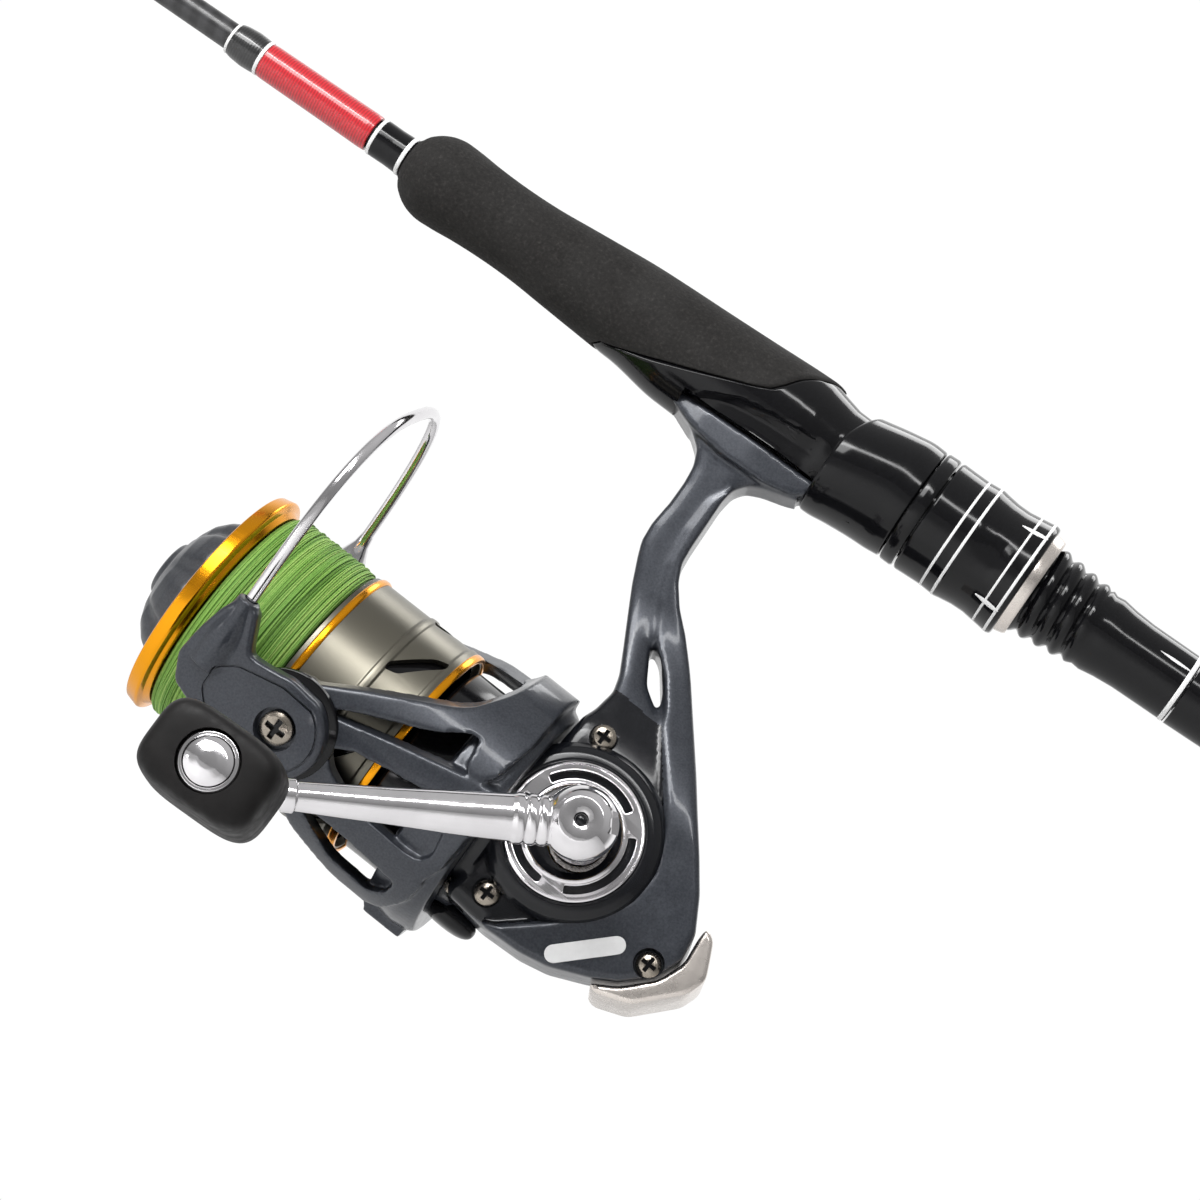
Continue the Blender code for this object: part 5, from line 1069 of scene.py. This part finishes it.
def make_spool():
    skirt = [(59.6, 14.6), (59.6, 22.2), (58.6, 22.4), (57.2, 22.3)]
    skirt += [(47.6, 22.3), (47.2, 22.55), (46.6, 22.6), (46.0, 22.55), (45.6, 22.25), (38.2, 22.25),
              (37.8, 22.5), (37.2, 22.5)]
    skirt += [(36.0, 22.2), (35.4, 21.9), (35.4, 21.1), (54.0, 21.0), (54.0, 1.6), (66.0, 1.6), (66.0, 12.6),
              (78.2, 12.6), (78.2, 14.6)]
    spool = lathe("spool_metal", skirt, REEL, 180, soft=0.12)
    for k in range(7):
        outline = rounded([(6.6, 0.4), (5.0, 1.5), (-4.0, 1.3), (-6.4, 0.2), (-5.4, -1.1), (4.4, -1.2)], 0.8)
        place = REEL @ spin(360 / 7 * k + 32.0, "X") @ move(41.7, 0, 0) @ spin(52, "Y")
        cut(spool, slab("slot", [outline], 17.0, 26.0, place, 0.01, 1))
    piece(spool, "spool", "spool_assembly", ["spool"], 35)
    # A black sheet just inside the skirt is painted shade: it makes the slots read dark, as the shadowed
    # inside of the spool.
    inner = [(53.8, 20.5), (53.4, 20.9), (36.6, 20.8), (36.6, 20.35), (53.4, 20.35)]
    piece(lathe("spool_inner_shade", inner, REEL, 96), "black", "spool_assembly", ())
    for number, (at, radius, width) in enumerate(((58.0, 22.35, 1.5), (35.9, 22.1, 1.7))):
        ring = [(at - width / 2, radius - 0.6), (at - width / 2, radius + 0.15),
                (at - width / 4, radius + 0.4), (at + width / 4, radius + 0.4),
                (at + width / 2, radius + 0.15), (at + width / 2, radius - 0.6)]
        piece(lathe(f"spool_ring_{number}", ring, REEL, 144, soft=0.12), "gold", "spool_assembly", ())
    lip = [(82.0, 12.6), (82.0, 14.0), (81.6, 14.6), (81.6, 18.4), (82.3, 19.4), (82.8, 22.6), (82.6, 23.1),
           (80.3, 23.65), (79.9, 23.4), (79.5, 22.2), (78.5, 21.4), (78.5, 12.6)]
    piece(lathe("spool_lip_gold", lip, REEL, 144, soft=0.15), "gold", "spool_assembly", ["spool_lip"],
          60)
    make_line()


def shade(mesh, tones):
    """Give every point of the line its own tone."""
    mesh.attributes.new("tone", "FLOAT", "POINT").data.foreach_set("value", tones)


def make_line():
    """Line on the spool: a packed core with wound strands laid over it, the steeper ones crossing."""
    rng = np.random.default_rng(7)
    core = [(78.1, 14.9), (78.1, 21.4), (77.2, 21.9), (69.0, 22.1), (61.4, 21.8), (60.0, 21.2), (60.0, 14.9)]
    base = lathe("core", core, REEL, 96)
    # The core's low tone is painted shade: the line seen between the strands is darker than any strand.
    shade(base.data, [0.12] * len(base.data.vertices))
    layers = [(0.37, 1, 22.1, 0.21), (1.3, -1, 22.3, 0.15), (2.9, 1, 22.42, 0.15)]
    points, faces, tones = [], [], []
    per_turn, sides = 72, 6
    low, high = 60.3, 77.9
    for pitch, hand, radius, thick in layers:
        count = int((high - low) / pitch) * per_turn
        steps = np.arange(count + 1)
        marks = np.arange(0, count + 200, 36)
        drift = np.interp(steps, marks, rng.normal(0.0, 0.16, len(marks)))
        marks = np.arange(0, count + 200, 50)
        tone = np.interp(steps, marks, rng.uniform(0.2, 0.75, len(marks)))
        start = len(points)
        for i in range(count + 1):
            t = hand * 2 * math.pi * i / per_turn
            s = min(max(low + pitch * i / per_turn + drift[i] * (1.0 if pitch < 1 else 1.5), low), high)
            r = radius - 0.55 * (1 - ease(min(s - low, high - s), -0.4, 2.2))
            for k in range(sides):
                q = 2 * math.pi * k / sides
                ring = r + thick * math.sin(q)
                points.append((s + thick * math.cos(q), ring * math.cos(t), ring * math.sin(t)))
                tones.append(tone[i])
        faces += tube_faces(count, sides, start)
        faces += [[end + k for k in range(sides)] for end in (start, start + count * sides)]
    mesh = drawn_mesh("line_strands", points, faces, REEL)
    shade(mesh, tones)
    face_out(mesh)
    piece(linked("line_strands", mesh), "line", "spool_assembly", ["line_pack"], 80)
    base.name = "line_core"
    piece(base, "line", "spool_assembly", ())


def make_drag_knob():
    dome = [(92.2, 0.0), (92.2, 4.4), (91.9, 5.2), (90.9, 5.9), (90.6, 7.4), (90.2, 9.0), (89.0, 11.6),
            (87.0, 13.8), (84.6, 15.3), (83.2, 15.6), (82.6, 15.3), (82.5, 12.0), (74.0, 12.0), (74.0, 0.0)]

    def lobed(a, t, r):
        if a < 82.4 or r < 6.5:
            return a, r
        wave = 0.5 + 0.5 * math.cos(7 * t)
        return a, r - 1.5 * wave ** 3 * ease(r, 6.5, 13.0)

    knob = lathe("drag_knob_cap", dome, REEL, 168, soft=0.4, shape=lobed)
    cut(knob, drill(87.2, 73.0, 1.7, REEL, 32))
    piece(knob, "knob_grey", "drag_adjuster", ["drag_knob"], 50)


# ---------------------------------------------------------------- handle

ELBOW_Y, EYE_Y = 36.0, 47.4


def arm_point(share):
    """The middle of the handle arm, from the elbow at 0 to the eye of the knob at 1."""
    return EYE[0] * share, ELBOW_Y + (EYE_Y - ELBOW_Y) * share ** 1.5, EYE[1] * share


def make_handle():
    shank = [(31.0, 0.0), (31.0, 4.3), (24.0, 4.3), (23.2, 4.5), (22.2, 5.1), (21.4, 5.3), (18.6, 5.3),
             (17.9, 5.0), (17.3, 4.4), (17.3, 2.2), (-17.6, 2.2), (-17.6, 0.0)]
    piece(lathe("shank_chrome", shank, CRANK, 72, "Y", 0.25), "chrome", "crank", ["handle_shank"])
    shares = np.unique(np.concatenate([np.linspace(0.0, 1.0, 60), np.linspace(0.06, 0.22, 80),
                                       np.linspace(0.78, 0.86, 40)]))
    path = []
    for share in shares:
        r = float(np.interp(share, [0, 0.185, 0.198, 0.39, 0.53, 0.8, 1.0],
                            [4.5, 4.5, 4.22, 3.72, 3.25, 2.6, 2.5]))
        for at in (0.09, 0.123, 0.158):
            r -= 0.3 * math.exp(-((share - at) / 0.0065) ** 2)
        r += 0.45 * (ease(share, 0.8, 0.806) - ease(share, 0.835, 0.842))
        path.append((*arm_point(share), r))
    arm = sweep("arm", path, CRANK, 48)
    ball_radius, flat = 6.75, -5.9
    arc = [math.pi * k / 24 for k in range(1, 24)]
    half = [(max(ball_radius * math.cos(v), flat), ball_radius * math.sin(v)) for v in arc]
    ball = lathe("ball", [(ball_radius, 0.0), *half, (flat, 0.0)], CRANK @ move(0, ELBOW_Y, 0), 64, "Y")
    eye = lathe("eye", [(3.2, 0.0), (3.2, 3.6), (2.6, 4.1), (-2.8, 4.1), (-3.5, 3.4), (-3.6, 0.0)],
                CRANK @ move(EYE[0], EYE_Y, EYE[1]), 56, "Y", 0.4)
    made = boolean(arm, "UNION", ball, eye)
    dish = lathe("dish", [(46.0, 0.0), (46.0, 5.4), (41.6, 3.9), (40.9, 1.3), (40.0, 1.1), (40.0, 0.0)],
                 CRANK, 56, "Y")
    cut(made, dish, block("notch", (5.3, -1.0, -2.0), (9.0, 9.0, 2.0),
                          CRANK @ move(0, ELBOW_Y, 0) @ spin(214.9, "Y")))
    piece(made, "chrome", "crank", ["handle_arm"], 50)
    # A dark disc at the bottom of the elbow's centre hole is painted shade in the hole.
    hole_shade = lathe("elbow_hole_shade", [(40.5, 0.0), (40.4, 0.6), (40.1, 1.05), (39.6, 1.05), (39.6, 0.0)],
                 CRANK, 32, "Y")
    piece(hole_shade, "dark", "crank", ())


def make_knob():
    middle, half = 65.5, 11.0
    points = []
    across, down = 64, 40
    for i in range(down + 1):
        v = math.pi * i / down
        lift = math.copysign(abs(math.cos(v)) ** 0.55, math.cos(v))
        spread = abs(math.sin(v)) ** 0.33
        bulge = 1.0 + 0.05 * math.cos(v * 2.0)
        for j in range(across):
            t = 2 * math.pi * j / across
            c, s = math.cos(t), math.sin(t)
            scale = (abs(c) ** 4.0 + abs(s) ** 4.0) ** (-1 / 4.0)
            points.append((12.3 * spread * bulge * scale * c, middle + half * lift,
                           8.5 * spread * bulge * scale * s))
    knob = remesh(raw("knob_rubber", points, tube_faces(down, across), KNOB), 0.35, 4)
    cut(knob, lathe("bore", [(80.0, 0.0), (80.0, 5.5), (74.2, 5.5), (74.2, 2.4), (50.0, 2.4),
            (50.0, 0.0)], KNOB, 56, "Y"))
    piece(knob, "rubber", "grip_knob", ["handle_knob"], 60)
    cap = [(77.2, 0.0), (77.05, 1.6), (76.6, 3.2), (76.0, 4.2), (75.7, 4.4), (75.8, 4.9), (75.5, 5.3),
           (74.6, 5.3), (74.6, 0.0)]
    piece(lathe("knob_cap_chrome", cap, KNOB, 72, "Y", 0.25), "chrome", "grip_knob", ["knob_cap"],
          60)


def make_screw_cap():
    cap = [(-18.0, 0.0), (-18.0, 2.4), (-20.4, 2.4), (-20.4, 6.6), (-21.0, 7.2), (-25.0, 7.2), (-26.2, 6.0),
           (-26.5, 4.0), (-26.0, 3.4), (-26.0, 0.0)]

    def ribbed(a, t, r):
        return a, r - (0.35 * (0.5 + 0.5 * math.cos(24 * t)) if r > 6.9 else 0.0)

    knurled = lathe("screw_cap_knurled", cap, CRANK, 144, "Y", 0.3, shape=ribbed)
    piece(knurled, "grey", "crank", ["handle_screw_cap"], 50)


def dress_cad():
    """Finish the inner parts, which keep their CAD shape."""
    kept = {"bronze": ["drive_gear", "pinion_gear", "oscillation_gear", "one_way_clutch"],
            "steel": ["bearing_near", "bearing_far", "pinion_bearing", "rotor_nut", "main_shaft",
                      "oscillation_slider", "drag_washer_rear", "knob_shaft"],
            "blank": ["drag_washer_front"],}
    for look, names in kept.items():
        for name in names:
            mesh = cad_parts[name].data
            mesh.materials.clear()
            mesh.materials.append(LOOKS[look])


# ---------------------------------------------------------------- studio

def camera_axes():
    """Right, up and back vectors of a camera that sees the rod rise to the upper left."""
    side, low, tilt = math.radians(6.0), math.radians(10.0), math.radians(34.9)
    back = np.array([-math.sin(side) * math.cos(low), math.cos(side) * math.cos(low), -math.sin(low)])
    right = np.cross((0, 0, 1.0), back)
    right /= np.linalg.norm(right)
    up = np.cross(back, right)
    roll = math.atan2(math.sin(tilt), -math.cos(tilt)) - math.atan2(up[0], right[0])
    return (math.cos(roll) * right - math.sin(roll) * up, math.sin(roll) * right + math.cos(roll) * up, back)


def make_camera():
    """A camera 0.7 m away that has the locking nut to the right of the middle of its view and above it."""
    right, up, back = camera_axes()
    distance = 0.7
    nut_right, nut_up = 0.065556, 0.012407
    place = np.array([0.262, 0, 0]) - nut_right * right - nut_up * up + distance * back
    lens = bpy.data.cameras.new("camera")
    lens.sensor_width, lens.lens = 36.0, 113.4
    lens.clip_start = 0.01
    camera = linked("camera", lens)
    matrix = np.eye(4)
    matrix[:3, 0], matrix[:3, 1], matrix[:3, 2], matrix[:3, 3] = right, up, back, place
    camera.matrix_world = Matrix(matrix.tolist())
    bpy.context.scene.camera = camera


def lamp(name, place, target, power, width, height):
    """A rectangular lamp that points at the target."""
    data = bpy.data.lights.new(name, "AREA")
    data.shape = "RECTANGLE"
    data.size, data.size_y = width, height
    data.energy = power
    obj = linked(name, data)
    obj.location = place
    obj.rotation_euler = (Vector(target) - Vector(place)).to_track_quat("-Z", "Y").to_euler()


def make_studio():
    right, up, back = camera_axes()
    centre = np.array([0.31, 0.0, -0.05])
    lamps = [
        ("key", (-0.15, 0.6, 0.45), 4.2, 0.5, 0.3),
        ("side", (-0.7, 0.0, 0.35), 2.2, 0.14, 0.6),
        ("low", (0.3, -0.6, 0.4), 1.5, 0.6, 0.16),
        ("strip", (0.1, 0.52, 0.5), 2.6, 0.9, 0.06),
        ("rim", (0.5, 0.5, -0.5), 2.0, 0.5, 0.3),
    ]
    for name, (x, y, z), power, width, height in lamps:
        lamp(name, tuple(centre + x * right + y * up + z * back), tuple(centre), power, width, height)
    world = bpy.data.worlds.new("studio")
    bpy.context.scene.world = world
    world.use_nodes = True
    nodes, links = world.node_tree.nodes, world.node_tree.links
    where = nodes.new("ShaderNodeTexCoord")
    split = nodes.new("ShaderNodeSeparateXYZ")
    links.new(where.outputs["Generated"], split.inputs["Vector"])
    tops = span_node(nodes, -0.4, 1.0, 0.12, 0.55)
    links.new(split.outputs["Z"], tops.inputs["Value"])
    backdrop = span_node(nodes, -0.62, -0.3, 1.0, 0.0)
    links.new(split.outputs["Y"], backdrop.inputs["Value"])
    mixed = nodes.new("ShaderNodeMix")
    mixed.inputs["B"].default_value = 1.02
    links.new(backdrop.outputs["Result"], mixed.inputs["Factor"])
    links.new(tops.outputs["Result"], mixed.inputs["A"])
    links.new(mixed.outputs["Result"], nodes["Background"].inputs["Color"])
    nodes["Background"].inputs["Strength"].default_value = 1.0
    floor = raw("studio_floor", [(-2000, -2300, -300), (3600, -2300, -300), (3600, 4000, -300),
            (-2000, 4000, -300)], [[0, 1, 2, 3]], ROD)
    look = tree("studio_floor_matt", 0.7)
    colour(look, texture(look, "Noise", 6.0), [(0.3, (0.78, 0.78, 0.78)), (0.7, (0.82, 0.82, 0.82))])
    floor.data.materials.append(look)
    bpy.context.scene.view_settings.view_transform = "Standard"


make_grip()
make_seat()
make_hood()
make_nut()
make_front_trim()
make_blanks()
make_butt()
make_guides()
make_body()
make_body_details()
make_rotor()
make_bail()
make_spool()
make_drag_knob()
make_handle()
make_knob()
make_screw_cap()
dress_cad()
make_camera()
make_studio()
